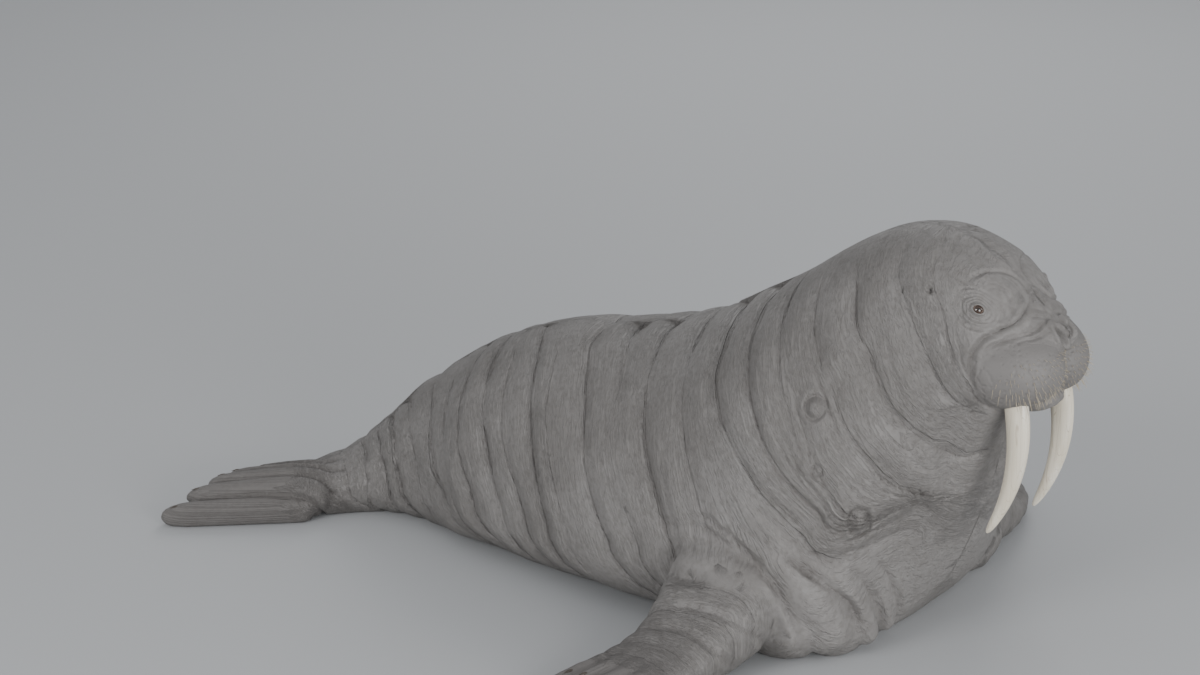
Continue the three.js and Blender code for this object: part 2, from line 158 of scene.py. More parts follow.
def unturned(points, bend):
    """Undoes turned: the angle round the arc's centre gives the length along it."""
    start, end, angle = bend
    way, span = np.sign(end - start), abs(end - start)
    radius = span / angle
    dx, dy = (points[:, 0] - start) * way, points[:, 1] + radius
    part = np.clip(np.arctan2(dx, dy), 0, angle)
    rest = dx * np.cos(part) - dy * np.sin(part)
    x = start + way * (radius * part + rest)
    y = dx * np.sin(part) + dy * np.cos(part) - radius
    moved = np.column_stack([x, y, points[:, 2]])
    return np.where((dx > 0)[:, None], moved, points)


def posed(points):
    """From the straight animal to the pose."""
    return turned(turned(points, TAIL_TURN), NECK_TURN)


def straight(points):
    """From the pose to the straight animal."""
    return unturned(unturned(points, NECK_TURN), TAIL_TURN)


def pressed(z):
    """Height after the weight has laid the lowest skin flat on the floor."""
    return np.maximum(0, z - FLAT * (1 - ease(z, 0, 4 * FLAT)))


print("nose in the pose:", np.round(posed(STATIONS[-1:, [0, 4, 1]] * (1, 0, 1))[0], 3))


# %% Noise
def clouds(points, size, seed=0):
    """Smooth random field from -1 to 1: random values on a cubic lattice, blended between its
    corners by a smooth step in each direction."""
    place = points / size
    cell = np.floor(place).astype(np.int64)
    f = place - cell
    f = f * f * f * (f * (6 * f - 15) + 10)
    total = np.zeros(len(points))
    for corner in np.ndindex(2, 2, 2):
        c = (cell + corner).astype(np.uint32)
        h = c[:, 0] * np.uint32(73856093) ^ c[:, 1] * np.uint32(19349663)
        h = h ^ c[:, 2] * np.uint32(83492791) ^ np.uint32(seed * 2654435 + 17)
        h = (h ^ (h >> np.uint32(13))) * np.uint32(1274126177)
        h = (h ^ (h >> np.uint32(16))) * np.uint32(2246822519)
        value = (h ^ (h >> np.uint32(15))).astype(float) / 2147483648.0 - 1
        side = np.where(corner, f, 1 - f)
        total += value * side[:, 0] * side[:, 1] * side[:, 2]
    return total


print("three values of the noise:", np.round(clouds(STATIONS[:3, :3], 0.1), 2))


# %% [markdown]
# ## Camera, floor and light
# The photo looks down from the animal's right front at a little under 20 degrees. A long lens
# keeps its proportions. The light is soft and nearly even, so most of it comes from the pale
# world. A broad lamp on the left of the view models the folds, one low on the right and one
# ahead of the face fill the breast and the muzzle, and one behind lifts the back off the floor.
# The floor sweeps up far away, so that no view shows where it ends.

# %% Camera
def new_camera(place, tilt, heading, lens):
    """A camera tilted up from straight down and turned by heading, both in degrees."""
    data = bpy.data.cameras.new("view")
    data.lens = lens
    data.sensor_width = 36
    camera = bpy.data.objects.new("view", data)
    camera.location = place
    camera.rotation_euler = (np.radians(tilt), 0, np.radians(heading))
    bpy.context.scene.collection.objects.link(camera)
    bpy.context.scene.camera = camera


CAMERA_PLACE = (4.3222, -8.2495, 4.1183)
CAMERA_TILT, CAMERA_HEADING, CAMERA_LENS = 70.525, 28, 85
new_camera(CAMERA_PLACE, CAMERA_TILT, CAMERA_HEADING, CAMERA_LENS)
print("camera at", CAMERA_PLACE)


# %% Making meshes
def new_mesh(name, points, faces):
    """A mesh object from arrays of points and of faces that all have as many corners."""
    points = np.asarray(points, np.float32)
    faces = np.asarray(faces, np.int32)
    mesh = bpy.data.meshes.new(name)
    mesh.vertices.add(len(points))
    mesh.vertices.foreach_set("co", points.ravel())
    mesh.loops.add(faces.size)
    mesh.loops.foreach_set("vertex_index", faces.ravel())
    mesh.polygons.add(len(faces))
    mesh.polygons.foreach_set("loop_start", np.arange(len(faces), dtype=np.int32) * faces.shape[1])
    mesh.update(calc_edges=True)
    mesh.validate()
    piece = bpy.data.objects.new(name, mesh)
    bpy.context.scene.collection.objects.link(piece)
    return piece


def wall(count, sides):
    """Triangles between rings of points: two for each square of neighbouring rings and sides."""
    i, j = np.meshgrid(np.arange(count - 1), np.arange(sides), indexing="ij")
    a, b = i * sides + j, i * sides + (j + 1) % sides
    c, d = b + sides, a + sides
    return np.stack([a, b, c, a, c, d], -1).reshape(-1, 3)


def shell(rings):
    """Triangles over rings of points, an array of rings by sides by 3, with a fan at each end.
    Gives points and triangles that face outwards."""
    count, sides = rings.shape[:2]
    points = np.vstack([rings.reshape(-1, 3), rings[0].mean(0), rings[-1].mean(0)])
    j = np.arange(sides)
    end = (count - 1) * sides
    first = np.stack([np.full(sides, count * sides), (j + 1) % sides, j], -1)
    last = np.stack([np.full(sides, count * sides + 1), end + j, end + (j + 1) % sides], -1)
    faces = np.vstack([wall(count, sides), first, last])
    corner = points[faces]
    volume = np.einsum("ij,ij->", corner[:, 0], np.cross(corner[:, 1], corner[:, 2]))
    return points, faces if volume > 0 else faces[:, ::-1]


def joined(shells):
    """Several shells as one pair of arrays."""
    starts = np.cumsum([0] + [len(p) for p, _ in shells[:-1]])
    points = np.vstack([p for p, _ in shells])
    return points, np.vstack([f + s for (_, f), s in zip(shells, starts)])


def shade_smooth(piece, material=None):
    """Smooth shading, and the piece's material where one is given."""
    piece.data.polygons.foreach_set("use_smooth", np.ones(len(piece.data.polygons), bool))
    if material:
        piece.data.materials.append(material)


print("a wall of 3 rings by 4 sides:", len(wall(3, 4)), "triangles")


# %% Floor
# radius of the flat part, radius of the edge and height of the edge
FLOOR_FLAT, FLOOR_EDGE, FLOOR_RISE = 22.0, 40.0, 9.0


def sweep_floor():
    """Rings round a middle point, flat out to FLOOR_FLAT. From there the height is twice
    FLOOR_RISE times the first half of a smooth step, as a studio backdrop rises."""
    radius = np.concatenate([[0.05, 8], np.linspace(FLOOR_FLAT, FLOOR_EDGE, 30)])
    angle = circle(120)
    rise = 2 * FLOOR_RISE * ease(radius, FLOOR_FLAT, 2 * FLOOR_EDGE - FLOOR_FLAT)
    r, a = np.meshgrid(radius, angle, indexing="ij")
    rings = np.stack([r * np.cos(a), r * np.sin(a), 0 * a + rise[:, None]], -1)
    hub = np.arange(len(angle))
    middle = np.stack([hub, np.roll(hub, -1), np.full(len(hub), r.size)], -1)
    around = wall(len(radius), len(angle))[:, ::-1]
    return np.vstack([rings.reshape(-1, 3), (0, 0, 0)]), np.vstack([around, middle])


floor = new_mesh("floor", *sweep_floor())
shade_smooth(floor)
print("floor is", 2 * FLOOR_EDGE, "m wide")


# %% Lamps
def new_lamp(name, place, aim, size, power):
    """A square lamp that looks at a point."""
    data = bpy.data.lights.new(name, "AREA")
    data.size = size
    data.energy = power
    lamp = bpy.data.objects.new(name, data)
    lamp.location = place
    lamp.rotation_euler = (Vector(aim) - Vector(place)).to_track_quat("-Z", "Y").to_euler()
    bpy.context.scene.collection.objects.link(lamp)


MIDDLE, FACE_AT = (0.2, 0.1, 0.5), (1.3, 0.1, 1.0)
# name, place, what it looks at, size and power
LAMPS = (("key", (-3.0, -8.5, 4.0), MIDDLE, 4.0, 405), ("fill", (7.0, -4.5, 1.4), MIDDLE, 4.0, 500),
         ("front", (8.0, 2.5, 3.6), FACE_AT, 4.0, 110), ("back", (-2.5, 9.0, 6.5), MIDDLE, 5.0, 260))
WORLD_COLOUR, WORLD_STRENGTH = (0.80, 0.81, 0.83, 1), 0.70
for lamp in LAMPS:
    new_lamp(*lamp)
world = bpy.data.worlds.new("studio")
bpy.context.scene.world = world
world.use_nodes = True
sky = world.node_tree.nodes["Background"].inputs
sky["Color"].default_value, sky["Strength"].default_value = WORLD_COLOUR, WORLD_STRENGTH
print("lamps:", [lamp[0] for lamp in LAMPS])


# %% [markdown]
# ## The body under the skin
# On the real animal the hide is one sheet over blubber, and the limbs, muzzle pads and breast
# rolls push it out. It could be sculpted from one ball of clay. Here each form is a shell of
# its own, worked out with a formula, and a voxel remesh then melts them into one closed skin.

# %% Trunk and head
def signed_power(value, exponent):
    """A power of a value's size, with the sign of the value."""
    return np.sign(value) * np.abs(value) ** exponent


def trunk():
    """Rings at places t along the stations. At angle a from the back, the height on the chord
    follows the cosine and the half width follows the sine, both to the section's power."""
    t = np.linspace(0, LAST, 361)[:, None]
    t, angle = np.broadcast_arrays(t, circle(240)[None])
    row = rows_at(STATIONS, t)
    back_x, back_z, belly_x, belly_z, half, belt, upper, lower = np.moveaxis(row, -1, 0)
    up = np.cos(angle)
    power = 2 / np.where(up >= 0, upper, lower)
    rise = belt + np.where(up >= 0, 1 - belt, belt) * signed_power(up, power)
    x = belly_x + (back_x - belly_x) * rise
    z = pressed(belly_z + (back_z - belly_z) * rise)
    y = half * signed_power(np.sin(angle), power)
    points = np.stack([x, y, z], -1).reshape(-1, 3)
    return shell(posed(points).reshape(*t.shape, 3))


# The rolls of the breast, the brows, the muzzle pads and the lower jaw, for the left side:
# centre, half sizes, turn in plan and tip forwards in degrees.
BREAST_ROLLS = (((0.600, 0.540, 0.110), (0.225, 0.135, 0.135), 12, 0),
                ((0.765, 0.390, 0.100), (0.140, 0.195, 0.125), -20, 0))
BROW = ((1.140, 0.088, 1.172), (0.105, 0.092, 0.096), 0, 0)
MUZZLE_PAD = ((1.252, 0.112, 0.985), (0.165, 0.115, 0.127), -32, -6)
LOWER_JAW = ((1.235, 0.0, 0.882), (0.125, 0.098, 0.062), 0, 0)
EGG_RINGS, EGG_SIDES = 60, 96


def egg_frame(form, side):
    """Centre, half sizes and axes of an egg, tipped about Y and then turned about Z."""
    centre, half, plan, tip = form
    p, q = np.radians(plan * side), np.radians(tip)
    about_z = np.array([[np.cos(p), -np.sin(p), 0], [np.sin(p), np.cos(p), 0], [0, 0, 1]])
    about_y = np.array([[np.cos(q), 0, np.sin(q)], [0, 1, 0], [-np.sin(q), 0, np.cos(q)]])
    return np.array(centre) * (1, side, 1), np.array(half), about_z @ about_y


def egg(form, side):
    """An ellipsoid: rings of latitude from its front to its rear, in its own axes."""
    centre, half, axes = egg_frame(form, side)
    polar = np.linspace(0.03, np.pi - 0.03, EGG_RINGS)[:, None]
    around = circle(EGG_SIDES)[None]
    ball = np.stack([np.cos(polar) + 0 * around, np.sin(polar) * np.cos(around),
                     np.sin(polar) * np.sin(around)], -1)
    points = (ball * half).reshape(-1, 3) @ axes.T + centre
    points[:, 2] = pressed(points[:, 2])
    return shell(posed(points).reshape(EGG_RINGS, EGG_SIDES, 3))


def egg_ratio(points, form, side):
    """How far straight points lie from an egg's centre, as a share of its surface's distance."""
    centre, half, axes = egg_frame(form, side)
    return np.linalg.norm((points - centre) @ axes / half, axis=1)


trunk_shell = trunk()
print("trunk:", len(trunk_shell[0]), "points")


# %% Sizes of the flippers
# f, half width, half thickness and height of the middle, from the shoulder to the tips
FORE_PROFILE = ((0, 0.150, 0.200, 0.340), (0.18, 0.200, 0.240, 0.330),
                (0.31, 0.215, 0.215, 0.255), (0.45, 0.198, 0.145, 0.150),
                (0.58, 0.172, 0.085, 0.085), (0.71, 0.175, 0.056, 0.056),
                (0.83, 0.182, 0.039, 0.041), (0.94, 0.168, 0.027, 0.030),
                (1, 0.130, 0.012, 0.018))
HIND_PROFILE = ((0, 0.110, 0.120, 0.130), (0.17, 0.130, 0.100, 0.110),
                (0.34, 0.122, 0.080, 0.085), (0.50, 0.120, 0.060, 0.065),
                (0.67, 0.130, 0.047, 0.052), (0.83, 0.136, 0.037, 0.042),
                (0.94, 0.130, 0.026, 0.032), (1, 0.100, 0.012, 0.018))
# root, length, aim in degrees, sweep back in degrees, curl, width scale
FOREFLIPPERS = {"left": ((0.560, 0.040), 1.160, 30, 110, 2.2, 1.0),
                "right": ((0.440, 0.220), 1.240, 0, 40, 1.6, 1.0)}
HIND_FLIPPERS = {"left": ((-1.150, 0.063), 0.500, 0, -3, 1.0, 0.72),
                 "right": ((-1.150, 0.070), 0.560, 0, -3, 1.0, 0.72)}
DIGITS = 5
LIMB_STEPS, LIMB_RINGS, LIMB_SIDES = 400, 200, 200
# height of a digit's ridge, reach of a tip past the web, and lead of the first digit
FORE_DIGITS = (0.010, 0.020, 0.042)
HIND_DIGITS = (0.002, 0.000, 0.050)
print("length of the foreflippers:", {name: limb[1] for name, limb in FOREFLIPPERS.items()})


# %% Flippers
def limb_path(limb, side, f, outward):
    """Middle line of a limb over the floor at shares f of its length, with its direction and
    the direction towards its leading edge. The heading starts at aim and swings back by sweep
    times f to the power curl, and the places are the running sum of short strides."""
    root, length, aim, sweep, curl, _ = limb
    steps = LIMB_STEPS
    g = (np.arange(steps) + 0.5) / steps
    heading = np.radians(aim - sweep * g ** curl)
    stride = np.stack([np.sin(heading), np.cos(heading)], -1)
    if not outward:
        stride = np.stack([-np.cos(heading), np.sin(heading)], -1)
    line = np.vstack([np.zeros(2), np.cumsum(stride, 0) * length / steps]) + root
    at = np.linspace(0, 1, steps + 1)
    middle = np.stack([np.interp(f, at, line[:, k]) for k in (0, 1)], -1) * (1, side)
    along = np.stack([np.interp(f, g, stride[:, k]) for k in (0, 1)], -1)
    lead = np.stack([along[..., 1], -along[..., 0]], -1)
    if not outward:
        lead = -lead
    return middle, along * (1, side), lead * (1, side)


def flipper(limb, side, profile, digits, outward):
    """A limb from its root to its tips. Across it, a flat oval whose corners fill out towards
    the tip, with round ridges for the digits and notches for the webs between them."""
    ridge, reach, lead_reach = digits
    rows = np.array(profile) * (1, limb[5], 1, 1)
    t = np.linspace(0, len(rows) - 1, LIMB_RINGS)[:, None]
    t, theta = np.broadcast_arrays(t, circle(LIMB_SIDES)[None])
    f, half, thick, high = np.moveaxis(rows_at(rows, t), -1, 0)
    middle, along, lead = limb_path(limb, side, f, outward)
    u = np.cos(theta)
    web = 2 * np.abs(np.cos(DIGITS * np.pi / 2 * u)) - 1
    fan = ease(f, 0.66, 0.86)
    corner = 2.2 + 0.9 * f
    rise = (1 - np.abs(u) ** corner) ** (1 / corner) * (t < t.max())
    tips = ease(f, 0.55, 1) * (lead_reach * u + reach * web)
    lift = rise * np.where(np.sin(theta) >= 0, thick + ridge * fan * web, -thick)
    flat = middle + along * tips[..., None] + lead * (u * half)[..., None]
    points = np.dstack([flat, pressed(high + lift)])
    if outward:
        return shell(points)
    return shell(posed(points.reshape(-1, 3)).reshape(*t.shape, 3))


limbs = {}
for name, side in SIDES.items():
    limbs[name] = [flipper(FOREFLIPPERS[name], side, FORE_PROFILE, FORE_DIGITS, True),
                   flipper(HIND_FLIPPERS[name], side, HIND_PROFILE, HIND_DIGITS, False)]
print("points of a flipper:", len(limbs["left"][0][0]))


# %% Toes and rolls of loose skin
# Digits of the right hind flipper, laid straight: heel, place behind the heel and tip, each with
# its height, and then the half width and half height. Each heel curls round the one below it.
HIND_TOES = (
    ((-1.545, -.163, .046), (-1.76, -.176, .050), (-2.110, -.178, .036), 0.054, 0.052),
    ((-1.500, -.170, .054), (-1.62, -.128, .100), (-2.020, -.098, .070), 0.058, 0.056),
    ((-1.470, -.100, .104), (-1.62, -.075, .124), (-1.940, -.048, .100), 0.050, 0.048),
    ((-1.450, -.060, .120), (-1.60, -.040, .130), (-1.875, -.014, .108), 0.045, 0.044),
    ((-1.430, -.030, .120), (-1.58, -.010, .130), (-1.800, .014, .108), 0.042, 0.042))
# length and height of a side's hind digits as shares of those in the table
TOE_SCALE = {1: (0.62, 0.58), -1: (1.0, 1.0)}
# first and last size of a hind digit as shares, and how blunt its heel and tip are
TOE_SIZES, TOE_BLUNT = (1.06, 0.80), (0.8, 0.45)
# Rolls of loose skin that run from the shoulder down and forwards to the floor, ahead of the
# right arm: a line of places in the pose, how far it stands out, half its breadth, and the
# first and last size of both as shares.
SKIN_ROLLS = ((((0.300, -0.610, 0.400), (0.400, -0.640, 0.370), (0.500, -0.690, 0.320),
                (0.580, -0.700, 0.250), (0.632, -0.665, 0.155), (0.650, -0.645, 0.040)),
               0.050, 0.055, (0.5, 1.0)),
              (((0.420, -0.660, 0.480), (0.544, -0.688, 0.401), (0.627, -0.672, 0.328),
                (0.690, -0.644, 0.230), (0.732, -0.600, 0.132), (0.748, -0.580, 0.030)),
               0.060, 0.084, (0.22, 1.08)),
              (((0.690, -0.615, 0.430), (0.776, -0.570, 0.290), (0.812, -0.520, 0.200),
                (0.830, -0.480, 0.120), (0.830, -0.455, 0.030)), 0.045, 0.046, (0.3, 1.0)),
              (((0.780, -0.560, 0.420), (0.842, -0.490, 0.290), (0.862, -0.420, 0.185),
                (0.852, -0.345, 0.040)), 0.034, 0.036, (0.3, 1.0)))
ROLLS_FACE = np.array([0.42, -0.90, 0.10])


def sausage(line, half, thick, sizes, blunt=(1, 1), facing=None):
    """An oval tube along a smooth line, round at both ends. Its size goes evenly from the first
    of the sizes to the last. A small blunt draws an end out to a longer point. The oval's half
    lies level across the line, or else along facing."""
    middle = rows_at(np.array(line), np.linspace(0, len(line) - 1, 70))
    along = unit(np.gradient(middle, axis=0))
    across = np.cross(along, (0, 0, 1.0))
    if facing is not None:
        across = facing - along * (along @ facing)[:, None]
    across = unit(across)
    run = run_along(middle)
    slim = (sizes[0] + (sizes[1] - sizes[0]) * run / run[-1])[:, None, None]
    close = np.minimum(run * blunt[0], (run[-1] - run) * blunt[1]) / thick
    ends = np.sqrt(1 - (1 - np.clip(close + 0.01, 0, 1)) ** 2)[:, None, None]
    theta = circle(60)[None, :, None]
    over = np.cross(across, along)
    tube = across[:, None] * np.cos(theta) * half + over[:, None] * np.sin(theta) * thick
    points = middle[:, None] + ends * tube * slim
    points[..., 2] = pressed(np.maximum(points[..., 2], 0))
    return shell(points)


def toe_line(digit, side):
    """Heel, bend and tip of a toe in the pose. On the left it is shorter and lies lower."""
    line = np.array(digit[:3])
    shorter, lower = TOE_SCALE[side]
    return posed((line[0] + (line - line[0]) * (shorter, 1, 1)) * (1, -side, lower))


def toe(digit, side):
    """The form of a toe, thinner where its line lies lower."""
    half, thick = digit[3:]
    thick = thick * (1 + TOE_SCALE[side][1]) / 2
    return sausage(toe_line(digit, side), half, thick, TOE_SIZES, TOE_BLUNT)


print("toes:", len(HIND_TOES), "a side; rolls of skin:", len(SKIN_ROLLS), "a side")


# %% All forms together
forms = [trunk_shell, egg(LOWER_JAW, 1)]
for name, side in SIDES.items():
    forms += [egg(roll, side) for roll in BREAST_ROLLS]
    forms += [egg(BROW, side), egg(MUZZLE_PAD, side), *limbs[name]]
    forms += [toe(digit, side) for digit in HIND_TOES]
    facing = ROLLS_FACE * (1, -side, 1)
    forms += [sausage(np.array(line) * (1, -side, 1), *sizes, facing=facing)
              for line, *sizes in SKIN_ROLLS]
clay = new_mesh("clay", *joined(forms))
print("forms:", len(forms), "triangles:", len(clay.data.polygons))


# %% [markdown]
# ## One skin
# A voxel remesh keeps only the outside of all the shells. Its voxels are as small as the
# narrowest fold of the trunk needs. The face needs finer ones, so its triangles are split
# further, and the whole is then smoothed a little, more where a limb joins the body.

# %% Remesh and read back
VOXEL = 0.006


def read_triangles(mesh):
    """Points and triangles of a mesh as arrays."""
    points = np.empty(len(mesh.vertices) * 3, np.float32)
    mesh.vertices.foreach_get("co", points)
    mesh.calc_loop_triangles()
    faces = np.empty(len(mesh.loop_triangles) * 3, np.int32)
    mesh.loop_triangles.foreach_get("vertices", faces)
    return points.reshape(-1, 3).astype(float), faces.reshape(-1, 3)


def applied(piece):
    """The mesh of a piece after its modifiers. The piece itself goes."""
    graph = bpy.context.evaluated_depsgraph_get()
    mesh = bpy.data.meshes.new_from_object(piece.evaluated_get(graph))
    bpy.data.objects.remove(piece)
    return mesh


remesh = clay.modifiers.new("melt", "REMESH")
remesh.mode = "VOXEL"
remesh.voxel_size = VOXEL
skin, faces = read_triangles(applied(clay))
print("skin points:", len(skin), "triangles:", len(faces))


# %% Smoothing, normals and splitting
def edge_keys(faces):
    """The three edges of each triangle, as whole numbers that hold both point numbers."""
    pairs = np.sort(faces[:, [0, 1, 1, 2, 2, 0]].reshape(-1, 2), 1).astype(np.int64)
    return pairs[:, 0] << 32 | pairs[:, 1]


def edges_of(faces):
    """Each edge once, as pairs of point numbers."""
    key = np.unique(edge_keys(faces))
    return np.stack([key >> 32, key & 0xFFFFFFFF], 1)


def neighbour_mean(points, edges):
    """For each point, the mean of the points that share an edge with it."""
    n = len(points)
    a, b = edges.T
    degree = np.bincount(a, minlength=n) + np.bincount(b, minlength=n)
    total = [np.bincount(a, c[b], n) + np.bincount(b, c[a], n) for c in points.T]
    return np.stack(total, 1) / np.maximum(degree, 1)[:, None]


def smoothed(points, edges, rounds, share):
    """Moves each point towards the mean of its neighbours by a share, some rounds over."""
    share = np.broadcast_to(share, len(points))[:, None]
    for _ in range(rounds):
        points = points + (neighbour_mean(points, edges) - points) * share
    return points


def normals_of(points, faces):
    """Unit normals of the points: the sum of the face normals round each, made one long."""
    corner = points[faces]
    flat = np.cross(corner[:, 1] - corner[:, 0], corner[:, 2] - corner[:, 0])
    total = np.stack([np.bincount(faces.ravel(), np.repeat(c, 3), len(points)) for c in flat.T], 1)
    return total / np.maximum(np.linalg.norm(total, axis=1), 1e-12)[:, None]


def split_long(points, faces, limit):
    """Cuts each edge that is longer than limit gives for its middle, and each triangle into two,
    three or four by how many of its edges are cut."""
    key, where = np.unique(edge_keys(faces), return_inverse=True)
    a, b = key >> 32, key & 0xFFFFFFFF
    middle = (points[a] + points[b]) / 2
    cut = distance(points[a], points[b]) > limit(middle)
    number = np.where(cut, len(points) + np.cumsum(cut) - 1, -1)
    m = number[where].reshape(-1, 3)
    count = (m >= 0).sum(1)
    lone = np.where(count == 1, (m >= 0).argmax(1), (m < 0).argmax(1) + 1)
    order = (lone[:, None] + np.arange(3)) % 3
    v = np.take_along_axis(faces, order, 1)
    m = np.take_along_axis(m, order, 1)
    one, two, three = (count == k for k in (1, 2, 3))
    (a, b, c), (d, e, f) = v.T, m.T
    parts = [faces[count == 0]]
    for rows, corners in ((one, ((a, d, c), (d, b, c))),
                          (two, ((d, b, e), (a, d, e), (a, e, c))),
                          (three, ((a, d, f), (d, b, e), (f, e, c), (d, e, f)))):
        parts += [np.stack(t, 1)[rows] for t in corners]
    return np.vstack([points, middle[cut]]), np.vstack(parts)


edges = edges_of(faces)
print("edges:", len(edges))


# %% The face is split finer
EYE_AT = np.array([1.158, 0.197, 1.191])
EYE_RADIUS = 0.021
DOME_AT = np.array([1.205, 0.165, 1.235])
NOSTRIL_AT = np.array([1.366, 0.025, 1.106])
FACE_FROM = 1.02
# longest edges of the trunk, the face, the bosses, round eyes and nostrils, and at the lids
EDGE_TRUNK, EDGE_FACE, EDGE_BOSS, EDGE_NOSE, EDGE_LID = 1.0, 0.0051, 0.0035, 0.0030, 0.0019
# bosses of thick skin: place on the straight animal, radius and height
BOSSES = ((0.718, -0.491, 0.850, 0.027, 0.013), (0.910, -0.478, 0.486, 0.029, 0.014),
          (0.766, -0.541, 0.654, 0.014, 0.005), (0.800, 0.500, 0.760, 0.022, 0.008),
          (0.930, 0.430, 0.600, 0.018, 0.007), (0.640, 0.560, 0.690, 0.024, 0.008))


def fine_edge(points):
    """Longest edge that each place may have: short over the face, shortest at eyes and nose."""
    flat = straight(points)
    eye = distance(on_left(flat), EYE_AT)
    nose = distance(on_left(flat), NOSTRIL_AT)
    on_face = ease(flat[:, 0], FACE_FROM - 0.02, FACE_FROM + 0.02)
    size = EDGE_TRUNK + (EDGE_FACE - EDGE_TRUNK) * on_face
    for x, y, z, radius, _ in BOSSES:
        size = np.where(distance(flat, (x, y, z)) < 2.4 * radius, EDGE_BOSS, size)
    size = np.where(np.minimum(eye, nose) < 0.055, EDGE_NOSE, size)
    return np.where(eye < 0.034, EDGE_LID, size)


skin = smoothed(skin, edges, 3, 0.5)
for _ in range(3):
    skin, faces = split_long(skin, faces, fine_edge)
print("after splitting:", len(skin), "points,", len(faces), "triangles")


# %% [markdown]
# ## Places on the skin
# A fold follows the body, not the axes. So each point of the skin is first told where it lies:
# how far along the body, how far round it, and how near to a limb, a pad or an eye. Folds and
# colours are then functions of these places.

# %% Along and round the trunk
line_t = np.linspace(0, LAST, 721)
chords = rows_at(STATIONS, line_t)
line = (chords[:, 0:2] + chords[:, 2:4]) / 2
LENGTHS = run_along(line)


def section_of(points):
    """Station number, angle from the back in degrees, and distance from the chord as a share of
    the section, for straight points. The station is found by halving: a point is ahead of a
    chord when the cross product of the chord and the way to the point is negative."""
    low, high = np.zeros(len(points)), np.full(len(points), float(LAST))
    for _ in range(14):
        t = (low + high) / 2
        row = np.stack([np.interp(t, line_t, chords[:, k]) for k in range(4)], 1)
        way = row[:, 0:2] - row[:, 2:4]
        cross = way[:, 0] * (points[:, 2] - row[:, 3]) - way[:, 1] * (points[:, 0] - row[:, 2])
        low, high = np.where(cross < 0, t, low), np.where(cross < 0, high, t)
    t = (low + high) / 2
    row = np.stack([np.interp(t, line_t, column) for column in chords.T], 1)
    way = row[:, 0:2] - row[:, 2:4]
    rise = ((points[:, [0, 2]] - row[:, 2:4]) * way).sum(1) / (way ** 2).sum(1) - row[:, 5]
    up = np.where(rise >= 0, rise / (1 - row[:, 5]), rise / row[:, 5])
    out = points[:, 1] / row[:, 4]
    power = np.where(rise >= 0, row[:, 6], row[:, 7])
    share = (np.abs(up) ** power + np.abs(out) ** power) ** (1 / power)
    angle = np.arctan2(signed_power(out, power / 2), signed_power(up, power / 2))
    return t, np.degrees(angle), share


def limb_place(points, limb, side, profile, outward):
    """Share f of the limb's length nearest to each point in plan, and how far across it lies
    towards the leading edge, as a share of the half width there."""
    flat = points if outward else straight(points)
    f = np.linspace(0, 1, 120)
    middle, along, lead = limb_path(limb, side, f, outward)
    away = ((flat[:, None, :2] - middle[None]) ** 2).sum(2)
    near = away.argmin(1)
    offset = flat[:, :2] - middle[near]
    ahead = (offset * along[near]).sum(1) / limb[1]
    rows = np.array(profile)
    half = np.interp(f[near], rows[:, 0], rows[:, 1]) * limb[5]
    return f[near] + ahead, (offset * lead[near]).sum(1) / half


print("length of the trunk:", round(LENGTHS[-1], 2), "m")


# %% All places of a point
class Places:
    """All places of a set of posed points, worked out once."""

    def __init__(self, points):
        self.points = points
        self.straight = straight(points)
        station, self.angle, self.share = section_of(self.straight)
        self.side = np.where(self.straight[:, 1] >= 0, 1, -1)
        self.round = np.abs(self.angle)
        self.length = np.interp(station, line_t, LENGTHS)
        self.mirrored = mirrored = on_left(self.straight)
        self.eye = distance(mirrored, EYE_AT)
        self.pad = egg_ratio(mirrored, MUZZLE_PAD, 1)
        self.brow = egg_ratio(mirrored, BROW, 1)
        self.arm = np.full((len(points), 2), (-1.0, 0.0))
        for name, side in SIDES.items():
            root, reach = FOREFLIPPERS[name][:2]
            near = distance(points[:, :2], np.array(root) * (1, side)) < reach + 0.1
            near &= (points[:, 1] * side > 0.30) & (points[:, 2] < 0.60)
            near = np.nonzero(near)[0]
            place = limb_place(points[near], FOREFLIPPERS[name], side, FORE_PROFILE, True)
            self.arm[near] = np.stack(place, 1)
        near = ease(self.arm[:, 0], 0.08, 0.16) * (1 - ease(np.abs(self.arm[:, 1]), 1.15, 1.45))
        near *= 1 - ease(points[:, 2], 0.25, 0.36)
        self.on_arm = ease(self.share, 1.00, 1.09) * near
        self.roll = np.minimum(*[egg_ratio(mirrored, roll, 1) for roll in BREAST_ROLLS])
        over = ease(self.share, 1.005, 1.05) * (1 - ease(points[:, 2], 0.38, 0.46))
        self.loose = np.maximum(over * (self.length > 1.2), 1 - ease(self.roll, 1.02, 1.22))
        self.dome = distance(mirrored, DOME_AT)
        behind = -self.straight[:, 0]
        self.on_foot = np.maximum(ease(behind, 1.44, 1.56),
                                  ease(behind, 1.36, 1.42) * ease(self.share, 1.03, 1.12))
        self.on_head = ease(self.length, 3.02, 3.14)


place = Places(skin)
print("points on the arms:", int((place.on_arm > 0.5).sum()))


# %% [markdown]
# ## Soft joins
# Where a shell meets the trunk the remesh leaves a sharp valley. Skin spans such valleys in a
# soft curve, so the points in them are moved towards their neighbours: much at the shoulders
# and brows, little between the toes and at the muzzle pads, where the real creases are sharp.

